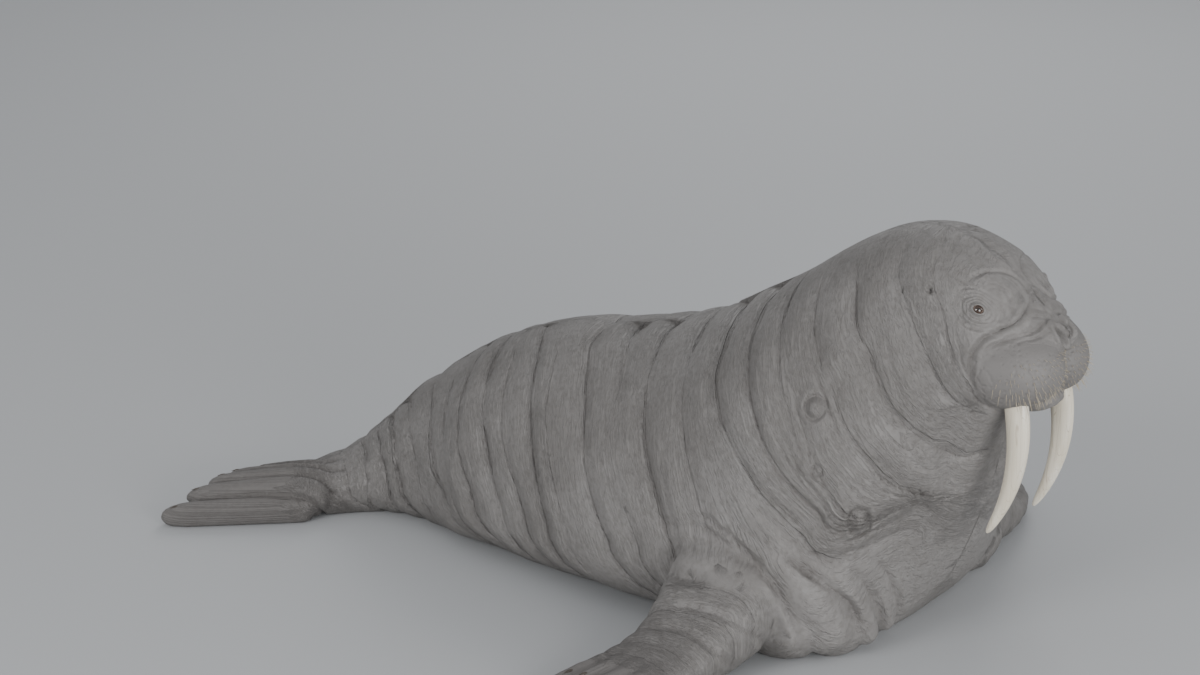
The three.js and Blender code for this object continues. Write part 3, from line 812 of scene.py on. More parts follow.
# %% Smooth the valleys
# rounds of smoothing: of the mask's spread, in the valleys, at brows and pads, and of it all
SPREAD_ROUNDS, VALLEY_ROUNDS, BROW_ROUNDS, LAST_ROUNDS = 9, 22, 80, 4
edges = edges_of(faces)
normal = normals_of(skin, faces)
hollow = ((neighbour_mean(skin, edges) - skin) * normal).sum(1)
spread = ease(hollow, 0.0002, 0.0009)
for _ in range(SPREAD_ROUNDS):
    spread = np.maximum(spread, neighbour_mean(spread[:, None], edges)[:, 0])
near_brow = 1 - ease(place.brow, 1.25, 1.7)
joint = 0.08 + 0.5 * near_brow * ease(place.pad, 1.0, 1.15)
over_pad = ease(place.straight[:, 2], 1.00, 1.06) * (place.length > 3.05)
joint = np.maximum(joint, 0.6 * over_pad)
joint = np.maximum(joint, 0.40 * (np.abs(place.straight[:, 1]) > 0.42) * (place.length > 1.0))
joint = np.maximum(joint, 0.30 * ease(place.straight[:, 0], -1.42, -1.34) * (place.length < 0.8))
skin = smoothed(skin, edges, VALLEY_ROUNDS, spread * joint)
blend = neighbour_mean((np.maximum(over_pad, near_brow) * (place.length > 2.9))[:, None], edges)
skin = smoothed(skin, edges, BROW_ROUNDS, 0.5 * blend[:, 0])
skin = smoothed(skin, edges, LAST_ROUNDS, 0.35)
place = Places(skin)
normal = normals_of(skin, faces)
print("valleys smoothed:", int((spread > 0.3).sum()))


# %% [markdown]
# ## Ring folds of the trunk
# The hide of a resting walrus gathers in rings about 10 cm apart. Each is a soft pillow with a
# sharp crease at both edges, and the creases lean forwards on their way down the flank. They
# are given as places along the body at some angles from the back, and a pillow is the power of
# a half circle between one crease and the next.

# %% Creases of the trunk
# depth as a share, depth left over the back, and (degrees from the back, metres along)
RINGS = (
    (0.5, 1.0, ((10, 0.100), (90, 0.110))),
    (0.6, 1.0, ((10, 0.185), (90, 0.200))),
    (0.9, 1.0, ((8, 0.261), (43, 0.275), (87, 0.282), (124, 0.278))),
    (1.1, 1.3, ((7, 0.323), (50, 0.346), (90, 0.390), (126, 0.404))),
    (1.1, 1.3, ((16, 0.374), (65, 0.412), (101, 0.466))),
    (0.4, 1.5, ((5, 0.450), (50, 0.500), (90, 0.590))),
    (1.0, 0.5, ((20, 0.585), (42, 0.603), (65, 0.630), (84, 0.677), (91, 0.820))),
    (0.5, 0.5, ((5, 0.690), (32, 0.700), (50, 0.712), (68, 0.760), (86, 0.860), (107, 0.980))),
    (0.7, 0.8, ((5, 0.790), (32, 0.800), (50, 0.818), (68, 0.880), (86, 0.980), (107, 1.080))),
    (1.0, 0.9, ((8, 0.880), (32, 0.903), (52, 0.957), (68, 1.029), (86, 1.120), (107, 1.195))),
    (0.6, 0.6, ((10, 0.960), (30, 1.000), (50, 1.047), (66, 1.110), (84, 1.215), (105, 1.300))),
    (1.1, 1.0, ((1, 1.029), (34, 1.131), (51, 1.180), (65, 1.232), (81, 1.309), (105, 1.395))),
    (0.5, 0.4, ((10, 1.150), (34, 1.210), (50, 1.255), (65, 1.310), (81, 1.390), (100, 1.470))),
    (1.0, 0.9, ((19, 1.306), (48, 1.422), (61, 1.462), (77, 1.525), (83, 1.564))),
    (0.9, 0.9, ((5, 1.440), (19, 1.470), (38, 1.538), (50, 1.551), (64, 1.594), (76, 1.662))),
    (1.0, 1.0, ((6, 1.580), (28, 1.630), (44, 1.664), (57, 1.709), (69, 1.774), (79, 1.824))),
    (0.9, 1.0, ((8, 1.760), (25, 1.800), (42, 1.850), (58, 1.914), (70, 1.978), (90, 2.080))),
    (1.2, 1.0, ((5, 1.930), (26, 1.975), (42, 2.012), (54, 2.091), (61, 2.158), (74, 2.285),
                (84, 2.369))),
    (1.0, 1.0, ((10, 2.110), (28, 2.150), (42, 2.197), (57, 2.270), (70, 2.341), (82, 2.423))),
    (0.8, 1.0, ((6, 2.270), (26, 2.296), (41, 2.334), (55, 2.374), (75, 2.440), (95, 2.540))),
    (1.1, 0.1, ((20, 2.420), (41, 2.444), (49, 2.480), (56, 2.514), (61, 2.549), (70, 2.575),
                (80, 2.604), (89, 2.641), (98, 2.674), (112, 2.707), (119, 2.724))),
    (1.4, 0.0, ((25, 2.610), (47, 2.643), (56, 2.678), (65, 2.715), (78, 2.744), (87, 2.767),
                (99, 2.801), (113, 2.831), (129, 2.866), (147, 2.902))),
    (0.5, 0.0, ((40, 2.830), (70, 2.900), (88, 2.928), (98, 2.945), (110, 2.971), (122, 3.003))),
    (0.5, 0.0, ((40, 2.930), (70, 2.975), (91, 2.994), (111, 3.029), (127, 3.055))),
    (0.0, 0.0, ((40, 3.100), (90, 3.120))),
    (0.0, 0.0, ((40, 3.200), (90, 3.210))),
    (0.0, 0.0, ((40, 3.300), (90, 3.310))),
)
# least gap of two creases, depth as a share of the gap, greatest depth and softness
RING_GAP, RING_DEPTH, DEEPEST, CREASE_SOFT = 0.012, 0.15, 0.019, 0.0035
RING_ANGLES = np.arange(0.0, 182.0, 2.0)
RING_DEPTHS, BACK_DEPTHS = np.array([ring[:2] for ring in RINGS]).T
# the angle at which a crease ends: soon past its last place on the neck, later on the trunk
RING_ENDS = np.array([ends[0] + (8 if ends[1] > 2.3 else 40) for ends in (r[2][-1] for r in RINGS)])


print("creases:", len(RINGS))


# %% Lines of the creases
def even(rows, width):
    """Rows smoothed by a bell curve so many steps wide, with their ends carried on."""
    reach = int(3 * width)
    bell = hump(np.arange(-reach, reach + 1), width)
    longer = np.pad(rows, ((0, 0), (reach, reach)), mode="reflect", reflect_type="odd")
    return np.array([np.convolve(row, bell / bell.sum(), "valid") for row in longer])


def drift(width):
    """A smooth random row for every crease, of about unit size, from seeded draws."""
    rows = even(chance.normal(size=(len(RINGS), len(RING_ANGLES))), width)
    return rows / rows.std()


def ring_rows():
    """Place along the body of each crease at every second degree. Past its last angle a crease
    keeps its slope for a while. It wavers by some millimetres, and never crosses the next."""
    rows = []
    for _, _, places in RINGS:
        angle, length = np.array(places).T
        slope = np.clip((length[-1] - length[-2]) / (angle[-1] - angle[-2]), 0.0025, 0.0065)
        rows.append(np.interp(RING_ANGLES, angle, length)
                    + slope * np.clip(RING_ANGLES - angle[-1], 0, 50))
    return even(np.array(rows), 2.5)


def in_order(rows):
    """Creases pushed along where they would come nearer than RING_GAP to the one before."""
    steps = np.arange(len(rows))[:, None] * RING_GAP
    return np.maximum.accumulate(rows - steps, axis=0) + steps


chance = np.random.default_rng(7)
ring_base = ring_rows()
# one table for the left side, which wavers more, and one for the right
PLACES_AT = {side: in_order(ring_base + size * drift(5) + size * 0.4 * drift(2))
             for side, size in ((1, 0.012), (-1, 0.003))}
STRENGTH_AT = {side: np.clip(1 + 0.55 * drift(6) + 0.15 * drift(2), 0.05, 1.8)
               for side in (1, -1)}
# a finer crease runs beside each: how far from it, and how deep
BESIDE_AT = {side: 0.020 + 0.006 * drift(5) for side in (1, -1)}
BESIDE_DEPTH = {side: np.clip(0.9 * drift(6), 0, 1.2) for side in (1, -1)}
print("creases on the back lie at", np.round(PLACES_AT[1][:, 5], 2))


# %% Depth of the creases
def by_angle(tables, where, ring):
    """Looks up a table at each point's side, crease and angle."""
    place = np.clip(where.round / 2, 0, len(RING_ANGLES) - 1.001)
    i, f = place.astype(int), place % 1
    left, right = (table[ring, i] * (1 - f) + table[ring, i + 1] * f
                   for table in (tables[1], tables[-1]))
    return np.where(where.side > 0, left, right)


def ring_places(where):
    """Place along the body of every crease at each point's angle."""
    count = len(where.round)
    return np.stack([by_angle(PLACES_AT, where, np.full(count, k)) for k in range(len(RINGS))], 1)


def ring_phase(where):
    """Number of creases behind each point plus the share of the way to the next crease, with
    the gap between the two."""
    at = ring_places(where)
    before = (at < where.length[:, None]).sum(1)
    low = np.where(before > 0, np.take_along_axis(at, np.maximum(before - 1, 0)[:, None], 1)[:, 0],
                   at[:, 0] - 0.1)
    top = np.minimum(before, len(RINGS) - 1)[:, None]
    high = np.where(before < len(RINGS), np.take_along_axis(at, top, 1)[:, 0], at[:, -1] + 0.1)
    return before + (where.length - low) / (high - low), high - low


def ring_height(where):
    """Depth below the pillows' tops. It is nothing at the middle of a pillow and grows to the
    nearest crease's own depth, as a half circle falls away to its edge."""
    phase, gap = ring_phase(where)
    nearest = np.clip(np.round(phase).astype(int) - 1, 0, len(RINGS) - 1)
    over_back = BACK_DEPTHS[nearest]
    strength = RING_DEPTHS[nearest] * (over_back + (1 - over_back) * ease(where.round, 15, 48))
    strength = strength * (1 - 0.45 * ease(where.round, 105, 150))
    end = RING_ENDS[nearest]
    strength = strength * (1 - ease(where.round, end, end + 18)) * ease(gap, 0.022, 0.060)
    strength = strength * by_angle(STRENGTH_AT, where, nearest) * (1 - 0.85 * where.loose)
    deep = np.minimum(RING_DEPTH * gap, DEEPEST)
    offset = (phase - np.round(phase)) * gap - by_angle(BESIDE_AT, where, nearest)
    beside = by_angle(BESIDE_DEPTH, where, nearest) * np.exp(-np.abs(offset) / 0.007)
    return -deep * strength * (valley_of(phase, gap) + 0.30 * beside), strength


def valley_of(phase, gap):
    """Depth from 0 at the middle of a pillow to 1 at its crease: part round swell, part sharp
    crease. The bottom of the crease is a few millimetres wide."""
    away = np.abs(phase - np.round(phase)) * gap
    away = np.sqrt(away ** 2 + CREASE_SOFT ** 2) - CREASE_SOFT
    q = np.clip(2 * away / gap, 0, 1)
    return 0.6 * (1 - (q * (2 - q)) ** 0.95) + 0.4 * (1 - (q * (2 - q)) ** 0.35)


phase, gap = ring_phase(place)
body = (1 - place.on_arm) * (1 - place.on_foot)
height = ring_height(place)[0] * body * (1 - place.on_head)
print("ring folds reach", round(1000 * float(-height.min()), 1), "mm deep")


# %% [markdown]
# ## Broken wrinkles
# Between the rings lie finer wrinkles that start and stop. They run the same way as the rings,
# so they are a random field that is stretched along the rings: its coordinates are the ring
# phase, many times over, and the angle, only a few times. The shoulder and breast have most.

# %% Wrinkles between the rings
def streaks(across, along, where, seed, soft=0.02):
    """Ridges and valleys of a random field, sharper in the valleys: twice the root of the
    field's size less one, so that its zero lines become creases, soft ones if soft is large."""
    cells = np.column_stack([across, along, where.side * 4.3])
    warp = 0.45 * clouds(cells * (0.35, 0.8, 1), 1.0, seed + 1)
    field = clouds(cells + np.column_stack([warp, 0 * warp, 0 * warp]), 1.0, seed)
    return 2 * np.sqrt(np.sqrt(field ** 2 + soft ** 2)) - 1


ROW = np.pi / 180
along_ring = place.round * ROW
shoulder = window(place.length, 1.60, 2.00, 2.75, 2.95) * window(place.round, 45, 68, 105, 138)
flank = window(place.length, 0.35, 0.55, 1.9, 2.2)
coarse = streaks(phase * 2.3, along_ring * 1.5, place, 11)
medium = streaks(phase * 4.6, along_ring * 2.4, place, 21)
patchy = ease(clouds(place.points, 0.33, 31), -0.25, 0.45)
trunk_only = body * (1 - place.on_head)
calm = 1 - 0.6 * place.loose
height += trunk_only * calm * (0.25 + 0.75 * ease(place.round, 22, 55)) * (
    0.0085 * shoulder * coarse * (0.35 + 0.65 * patchy) + 0.0022 * coarse
    + 0.0026 * medium * (0.25 + 0.75 * patchy) * (0.55 * flank + 1.2 * shoulder + 0.2))
height += 0.005 * clouds(place.points, 0.21, 41) * trunk_only
print("wrinkles done")


# %% [markdown]
# ## Single folds
# Some folds belong to one place only: the arch of skin that the foreflipper comes out of, the
# pocket behind it, the sleeve of folds on the forearm, the seam between muzzle pad and cheek.
# Each is a groove along a smooth line through a few points on the skin.

# %% Grooves along lines
def curve(points, spacing=0.006):
    """A smooth line through points, as closely spaced places."""
    points = np.array(points, float)
    rough = rows_at(points, np.linspace(0, len(points) - 1, 12 * len(points)))
    run = run_along(rough)
    at = np.linspace(0, run[-1], max(8, int(run[-1] / spacing)))
    return np.stack([np.interp(at, run, rough[:, k]) for k in range(3)], 1)


def squares_apart(points, others):
    """Square of the distance between each of the points and each of the others."""
    own, other = (points ** 2).sum(1), (others ** 2).sum(1)
    return own[:, None] + other[None] - 2 * points @ others.T


def groove(points, line, depth, width, lip=0.3, reach=3.5):
    """Height of a groove: a sharp valley along the line, drawn onto the skin, with a low lip on
    both sides. Both fade out towards the ends of the line."""
    line = curve(line)
    low, high = line.min(0) - reach * width, line.max(0) + reach * width
    near = np.nonzero(((points > low) & (points < high)).all(1))[0]
    result = np.zeros(len(points))
    if len(near) == 0:
        return result
    p = points[near]
    onto = p[squares_apart(p, line).argmin(0)]
    onto[1:-1] = (onto[:-2] + onto[1:-1] + onto[2:]) / 3
    away = squares_apart(p, onto)
    closest = away.argmin(1)
    d = np.sqrt(np.maximum(away[np.arange(len(near)), closest], 0)) / width
    fade = np.clip(4 * np.minimum(closest, len(line) - 1 - closest) / len(line), 0, 1) ** 0.7
    valley = -np.exp(-d ** 1.4) + lip * np.exp(-((d - 1.9) / 0.9) ** 2)
    result[near] = depth * fade * valley
    return result


def laid_line(line, side, spacing=0.006):
    """A line given for the right side of the straight animal, on either side of the pose."""
    return posed(curve(np.array(line) * (1, -side, 1), spacing))


print("points of a groove 6 cm long:", len(curve(((0, 0, 0), (0.06, 0, 0)))))


# %% Folds of the shoulder and the throat
ARCH = ((.143, -.637, .377), (.172, -.643, .385), (.252, -.656, .410), (.313, -.666, .415),
        (.375, -.680, .404), (.429, -.694, .382), (.494, -.720, .357), (.544, -.736, .330),
        (.588, -.737, .268))
# creases between the skin rolls, from the shoulder to the floor
FALLS = (((.200, -.648, .440), (.286, -.658, .446), (.347, -.670, .452), (.389, -.680, .432),
          (.434, -.690, .417), (.482, -.699, .387), (.530, -.715, .357), (.570, -.725, .327),
          (.597, -.709, .287), (.625, -.691, .225), (.657, -.686, .162), (.681, -.688, .100),
          (.678, -.663, .042)),
         ((.399, -.646, .606), (.451, -.665, .584), (.501, -.679, .564), (.545, -.678, .523),
          (.577, -.678, .487), (.627, -.667, .444), (.657, -.659, .397), (.700, -.640, .340)),
         ((.560, -.701, .400), (.640, -.680, .375), (.700, -.650, .330), (.742, -.626, .290),
          (.779, -.596, .246), (.808, -.562, .200), (.826, -.540, .138), (.830, -.535, .060)),
         ((.790, -.580, .350), (.840, -.530, .281), (.860, -.493, .219), (.870, -.447, .151),
          (.860, -.388, .073)),
         ((.850, -.520, .360), (.890, -.455, .298), (.901, -.396, .208), (.894, -.346, .136),
          (.859, -.288, .042)))
POCKET = ((.225, -.700, .250), (.262, -.748, .262), (.320, -.775, .282), (.400, -.788, .284))
SLEEVE = (((.274, -.849, .199), (.374, -.860, .222), (.459, -.871, .224), (.533, -.869, .207),
           (.589, -.818, .152), (.581, -.696, .052)),
          ((.252, -.927, .148), (.313, -.926, .168), (.392, -.940, .174), (.464, -.961, .163),
           (.527, -.949, .115), (.542, -.843, .038)))
THROAT = ((1.093, -.283, .868), (1.104, -.259, .787), (1.105, -.236, .693), (1.093, -.220, .598),
          (1.078, -.216, .522))
# line, depth and width
GROOVES = ((ARCH, 0.013, 0.018), (POCKET, 0.024, 0.026), (SLEEVE[0], 0.012, 0.013),
           (SLEEVE[1], 0.010, 0.012), (FALLS[0], 0.016, 0.012), (FALLS[1], 0.010, 0.015),
           (FALLS[2], 0.014, 0.013), (FALLS[3], 0.010, 0.011), (FALLS[4], 0.010, 0.011))
for side in SIDES.values():
    height += groove(skin, laid_line(THROAT, side), 0.026, 0.065, lip=0.1)
for line, depth, width in GROOVES:
    height += groove(skin, line, depth, width)
print("folds of the shoulder:", len(GROOVES))


# %% Gaps between the toes and folds of the arms
def toe_gaps(points, side):
    """Height of the furrows between the toes: deepest where two toes are equally near, counted
    in half widths of a toe, and gone where the second is far."""
    away = np.full((len(points), len(HIND_TOES)), 9.0)
    foot = np.nonzero(points[:, 0] < -1.30)[0]
    for column, digit in enumerate(HIND_TOES):
        line = curve(toe_line(digit, side), 0.012)
        square = ((points[foot][:, None] - line[None]) ** 2).sum(2)
        away[foot, column] = np.sqrt(square.min(1)) / digit[3]
    first, second = np.sort(away, 1)[:, :2].T
    return -0.013 * np.exp(-((second - first) / 0.17) ** 2) * (1 - ease(second, 1.3, 1.7))


ARM_RINGS = np.array([0.33, 0.40, 0.465, 0.53, 0.59, 0.65, 0.71, 0.76])


def arm_places(where):
    """Place along an arm with a little wavering, and the number of its ring folds up to there."""
    f, u = where.arm.T
    cells = np.column_stack([f * 9, u * 1.2, where.side * 3.0])
    lean = f + 0.018 * u + 0.012 * clouds(cells, 1.0, 51)
    return lean, np.interp(lean, ARM_RINGS, np.arange(len(ARM_RINGS)))


for side in SIDES.values():
    height += toe_gaps(skin, side)
# The far arm is folded back more, so its folds go round it at places along the arm.
f, u = place.arm.T
lean, arm_phase = arm_places(place)
cuff = window(lean, 0.36, 0.44, 0.70, 0.80) * place.on_arm
height -= 0.011 * cuff * np.where(place.side > 0, 1.0, 0.5) * valley_of(arm_phase, 0.08)
arm_streaks = streaks(f * 30, u * 1.3, place, 61)
height += 0.0022 * arm_streaks * place.on_arm * window(f, 0.2, 0.35, 0.75, 0.95)
print("folds of the arms done")


# %% Bosses
def boss(points, form):
    """A round lump of thick skin: a flat dome with a furrow round its foot."""
    x, y, z, radius, high = form
    away = (points - posed(np.array([[x, y, z]]))[0]) / radius
    away = np.linalg.norm(away * (1.0, 1.0, 0.80), axis=1) + 0.10 * clouds(points, 0.03, 45)
    return high * (1 - ease(away, 0.35, 1.0) - 0.55 * hump(away - 1.18, 0.24)
                   + 0.25 * hump(away - 1.75, 0.35))


height += sum(boss(skin, form) for form in BOSSES)
print("bosses:", len(BOSSES))


# %% [markdown]
# ## The face
# Small eyes look out between thick lids under the brow. The pads that carry the whiskers are
# parted by a deep cleft under the nose, and a seam runs round each pad. The nostrils are
# slanting slits, and the ear is only a short slit. These forms are a few millimetres deep, so they
# are moved on the finer triangles of the face.

# %% Ears, seams and ridges of the head
# from the nose round the pad to the cheek, the folds beside it, those over the brow, two on the
# forehead and one behind the eye: a line on the straight animal, depth and width
FACE_FOLDS = (
    (((1.249, -.031, 1.214), (1.266, -.077, 1.190), (1.268, -.120, 1.168), (1.254, -.156, 1.148),
      (1.229, -.187, 1.134), (1.204, -.211, 1.115), (1.185, -.226, 1.091), (1.174, -.236, 1.061),
      (1.168, -.242, 1.024), (1.167, -.242, .976), (1.175, -.235, .940)), 0.016, 0.010),
    (((1.312, -.014, 1.162), (1.320, -.064, 1.144), (1.310, -.108, 1.127), (1.286, -.146, 1.115),
      (1.255, -.179, 1.104), (1.228, -.200, 1.093), (1.205, -.216, 1.076), (1.189, -.229, 1.049)),
     0.008, 0.007),
    (((1.345, -.049, 1.125), (1.330, -.095, 1.111), (1.301, -.138, 1.103), (1.262, -.177, 1.095)),
     0.006, 0.006),
    (((1.101, -.206, 1.249), (1.102, -.174, 1.275), (1.117, -.139, 1.289), (1.135, -.096, 1.292),
      (1.160, -.051, 1.282), (1.191, -.025, 1.262), (1.225, -.025, 1.235), (1.253, -.038, 1.210)),
     0.006, 0.008),
    (((1.120, -.011, 1.311), (1.154, -.008, 1.290), (1.189, -.004, 1.265), (1.213, -.004, 1.246)),
     0.003, 0.008),
    (((1.176, -.101, 1.272), (1.222, -.114, 1.261), (1.253, -.126, 1.233), (1.265, -.143, 1.200),
      (1.250, -.164, 1.169)), 0.004, 0.008),
    (((1.238, -.003, 1.223), (1.274, -.003, 1.194), (1.305, -.015, 1.168)), 0.003, 0.008),
    (((.953, -.011, 1.372), (.957, -.058, 1.365), (.965, -.126, 1.347)), 0.007, 0.008),
    (((.975, -.025, 1.366), (.990, -.069, 1.358), (1.008, -.138, 1.334)), 0.007, 0.008),
    (((1.110, -.230, 1.210), (1.121, -.238, 1.181), (1.137, -.239, 1.158), (1.159, -.231, 1.144),
      (1.184, -.216, 1.139)), 0.008, 0.008))
TEMPLE = ((.981, -.011, 1.365), (1.067, -.038, 1.335), (1.128, -.031, 1.304), (1.175, 0, 1.276))
EAR = np.array([1.004, 0.245, 1.243])


def ear_hole(points, side):
    """A short slit that slants forwards and down: the depth falls off with an oval distance,
    and a low rim goes round it."""
    ear, ahead = posed((EAR + np.array([(0, 0, 0), (0.01, 0, 0)])) * (1, side, 1))
    ahead = (ahead - ear) / 0.01
    p = points - ear
    a, b = p @ ahead, p[:, 2]
    long, short = 0.55 * a - 0.83 * b, 0.83 * a + 0.55 * b
    ratio = np.hypot(long / 0.0115, short / 0.0058)
    near = distance(points, ear) < 0.05
    return near * (0.0035 * hump(ratio - 2.1, 0.6) - 0.017 * (1 - ease(ratio, 0.45, 1.35)))


for side in SIDES.values():
    for fold, depth, width in FACE_FOLDS:
        height += groove(skin, laid_line(fold, side, 0.004), depth, width, lip=0.18)
    height -= groove(skin, laid_line(TEMPLE, side, 0.004), 0.008, 0.015, lip=0)
    height += ear_hole(skin, side)
skin = skin + normal * height[:, None]
print("head seams done; skin moved by", round(1000 * float(np.abs(height).max()), 1), "mm at most")

# %% Fine wrinkles of the face
place = Places(skin)
normal = normals_of(skin, faces)
face = ease(place.length, 3.00, 3.16)
# how strongly each of four sets of folds shows: round the pads, eyes, domes, and the rest
on_pad = 1 - ease(place.pad, 1.02, 1.08)
eye_zone = window(place.eye, 0.034, 0.044, 0.060, 0.085)
dome_zone = window(place.dome, 0.030, 0.05, 0.11, 0.15) * (1 - eye_zone)
pad_zone = window(place.pad, 0.98, 1.10, 1.5, 1.85) * (1 - eye_zone) * (1 - dome_zone)
top_of_pad = 1 - on_pad * (1 - ease(place.straight[:, 2], 1.03, 1.09))
pad_zone = pad_zone * top_of_pad
other = face * (1 - on_pad) * (1 - eye_zone) * (1 - dome_zone) * (1 - pad_zone)
slant = place.mirrored[:, 2] / 0.09
height = face * (0.0045 * pad_zone * streaks(place.pad * 6.5, slant, place, 71, 0.12)
                 + 0.0030 * eye_zone * streaks(place.eye / 0.015, slant, place, 81, 0.1)
                 + 0.0050 * dome_zone * streaks(place.dome / 0.019, slant, place, 85, 0.12))
height += 0.0045 * other * streaks(place.length / 0.034, place.round / 26, place, 91, 0.12)
height += 0.0040 * face * clouds(place.points, 0.055, 95) * (1 - 0.6 * on_pad)
pits = clouds(place.straight, 0.010, 97)
height -= 0.0016 * on_pad * ease(pits, 0.35, 0.6)
skin = skin + normal * height[:, None]
print("wrinkles of the face go", round(1000 * float(-height.min()), 1), "mm in at most")


# %% Nostrils
def nostril(points, normal, side):
    """A slanting slit: the depth falls off with an oval distance whose long axis slants
    outwards and down, with a raised wing above it."""
    centre = posed((NOSTRIL_AT * (1, side, 1))[None])[0]
    near = distance(points, centre) < 0.06
    axis = unit(normal[near].mean(0))
    up = unit(np.array((0, 0, 1.0)) - axis * axis[2])
    out = np.cross(up, axis)
    out = out if out[1] * side > 0 else -out
    p = points - centre
    a, b = p @ out, p @ up
    long = a * 0.36 + b * 0.93
    short = a * 0.93 - b * 0.36
    long = long + 18 * short ** 2
    ratio = np.sqrt((long / 0.025) ** 2 + (short / 0.0095) ** 2)
    wing = np.sqrt((long / 0.036) ** 2 + (short / 0.020) ** 2)
    deep = 0.022 * (1 - ease(ratio, 0.5, 1.4))
    return np.where(near, -deep + 0.010 * hump(wing - 1.25, 0.42), 0)


normal = normals_of(skin, faces)
height = sum(nostril(skin, normal, side) for side in SIDES.values())
skin = skin + normal * height[:, None]
print("nostrils done")


# %% Lids
# thickness of a lid, half sizes of the oval between the lids, and how far it leans
LID, OPENING, LID_TILT = 0.0030, (0.0182, 0.0132), np.radians(26)
# rings of folds round an eye: place as a share of the opening, depth and width
EYE_RINGS = ((1.70, 0.0036, 0.16), (2.35, 0.0030, 0.16), (3.05, 0.0052, 0.24), (3.90, 0.0032, 0.24),
             (4.80, 0.0044, 0.30))


def eye_frame(points, normal, side):
    """Centre of an eyeball in the pose, and the axes ahead, up and out of the head there."""
    centre = posed((EYE_AT * (1, side, 1))[None])[0]
    near = distance(points, centre) < 0.045
    out = unit(normal[near].mean(0))
    ahead = unit(np.cross((0, 0, 1.0), out))
    ahead = ahead if ahead[0] > 0 else -ahead
    up = np.cross(out, ahead)
    up = up if up[2] > 0 else -up
    c, s = np.cos(LID_TILT), np.sin(LID_TILT)
    return centre, ahead * c - up * s, up * c + ahead * s, out


def lids(points, centre, ahead, up, out):
    """Skin over the eyeball: a shell a lid's thickness off the ball, which melts into the cheek
    further out. Inside the oval opening the skin turns in behind the ball, and rings of folds
    go round it."""
    p = points - centre
    a, b, h = p @ ahead, p @ up, p @ out
    away = np.hypot(a, b)
    near = (away < 0.085) & (h > -0.035)
    radius = EYE_RADIUS + LID
    over = np.sqrt(np.maximum(radius ** 2 - away ** 2, 0.25 * radius ** 2))
    share = 1 - ease(away, 0.017, 0.038)
    target = h * (1 - share) + over * share
    ratio = np.hypot(a / OPENING[0], b / OPENING[1])
    target = target + 0.0034 * hump(ratio - 1.25, 0.22)
    wavy = ratio + 0.25 * clouds(points, 0.03, 83)
    open_side = 0.35 + 0.65 * ease(-a - b, -0.03, 0.03)
    for where, deep, wide in EYE_RINGS:
        target = target - deep * open_side * hump(wavy - where, wide)
    target = target - 0.013 * (1 - ease(ratio, 0.84, 1.02))
    return points + out * np.where(near, target - h, 0)[:, None]


normal = normals_of(skin, faces)
eye_frames = {name: eye_frame(skin, normal, side) for name, side in SIDES.items()}
for name, (centre, ahead, up, out) in eye_frames.items():
    skin = lids(skin, centre, ahead, up, out)
    print("eye", name, "looks towards", np.round(out, 2))


# %% [markdown]
# ## The finished hide
# The skin now has more triangles than it needs on its smooth parts. A decimation keeps them
# where the skin is creased, and the points of the hide then carry what its colours need: how
# hollow each place is, where it lies along the folds, and which part of the animal it is.

# %% Fewer triangles
HIDE_TRIANGLES = 196000
skin[:, 2] = np.maximum(skin[:, 2], 0)
hide = new_mesh("hide", skin + ORIGIN, faces)
group = hide.vertex_groups.new(name="body")
on_skin = Places(skin)
on_boss = np.min([distance(on_skin.straight, form[:3]) / form[3] for form in BOSSES], axis=0)
weight = 1 - 0.75 * np.maximum(ease(on_skin.length, 3.0, 3.1), 1 - ease(on_boss, 1.6, 2.4))
weight = np.round(weight, 1)
for level in np.unique(weight):
    group.add(np.nonzero(weight == level)[0].tolist(), float(level), "REPLACE")
fewer = hide.modifiers.new("fewer", "DECIMATE")
fewer.ratio = HIDE_TRIANGLES / len(faces)
fewer.vertex_group = "body"
fewer.vertex_group_factor = 1.0
skin, faces = read_triangles(applied(hide))
hide = new_mesh("hide", skin, faces)
shade_smooth(hide)
print("hide:", len(faces), "triangles")


# %% What the colours need
def give(piece, name, values):
    """Writes values to a piece as a point attribute, single numbers or vectors."""
    values = np.asarray(values, np.float32)
    kind = ("FLOAT", "value") if values.ndim == 1 else ("FLOAT_VECTOR", "vector")
    layer = piece.data.attributes.new(name, kind[0], "POINT")
    layer.data.foreach_set(kind[1], values.ravel())


def sure(mask):
    """1 where a mask is near 0 or 1, and 0 around its half, where one set of lines ends."""
    return ease(np.abs(2 * mask - 1), 0.5, 0.95)


place = Places(skin - ORIGIN)
edges = edges_of(faces)
normal = normals_of(skin, faces)
hollow = np.zeros(len(skin))
blurred = skin
for rounds in (2, 6):
    blurred = smoothed(blurred, edges, rounds, 0.7)
    hollow += ((blurred - skin) * normal).sum(1)
# a long edge makes a gentle curve look like a hollow, so its share is taken back
a, b = edges.T
span = distance(skin[a], skin[b])
ends = np.bincount(edges.ravel(), minlength=len(skin))
mean_edge = np.bincount(edges.ravel(), np.repeat(span, 2), len(skin)) / np.maximum(ends, 1)
hollow *= np.minimum(1, 0.009 / np.maximum(mean_edge, 1e-6)) ** 2
# how hollow each place is: it sets the painted shade in the hollows and the painted light on the
# crests
give(hide, "hollow", np.clip(hollow / 0.006, -1, 1))
phase, gap = ring_phase(place)
f, u = place.arm.T
flow = np.stack([phase, place.round * ROW * 3, place.side * 2.0], 1)
arm_flow = np.stack([arm_places(place)[1], u * 2, place.side * 5.0], 1)
flow = np.where(place.on_arm[:, None] > 0.5, arm_flow, flow)
near_eye, near_dome = 1 - ease(place.eye, 0.05, 0.09), 1 - ease(place.dome, 0.10, 0.15)
near_pad = 1 - ease(place.pad, 1.5, 1.8)
head_phase = place.length / 0.054
whole = sure(place.on_head) * sure(place.on_arm)
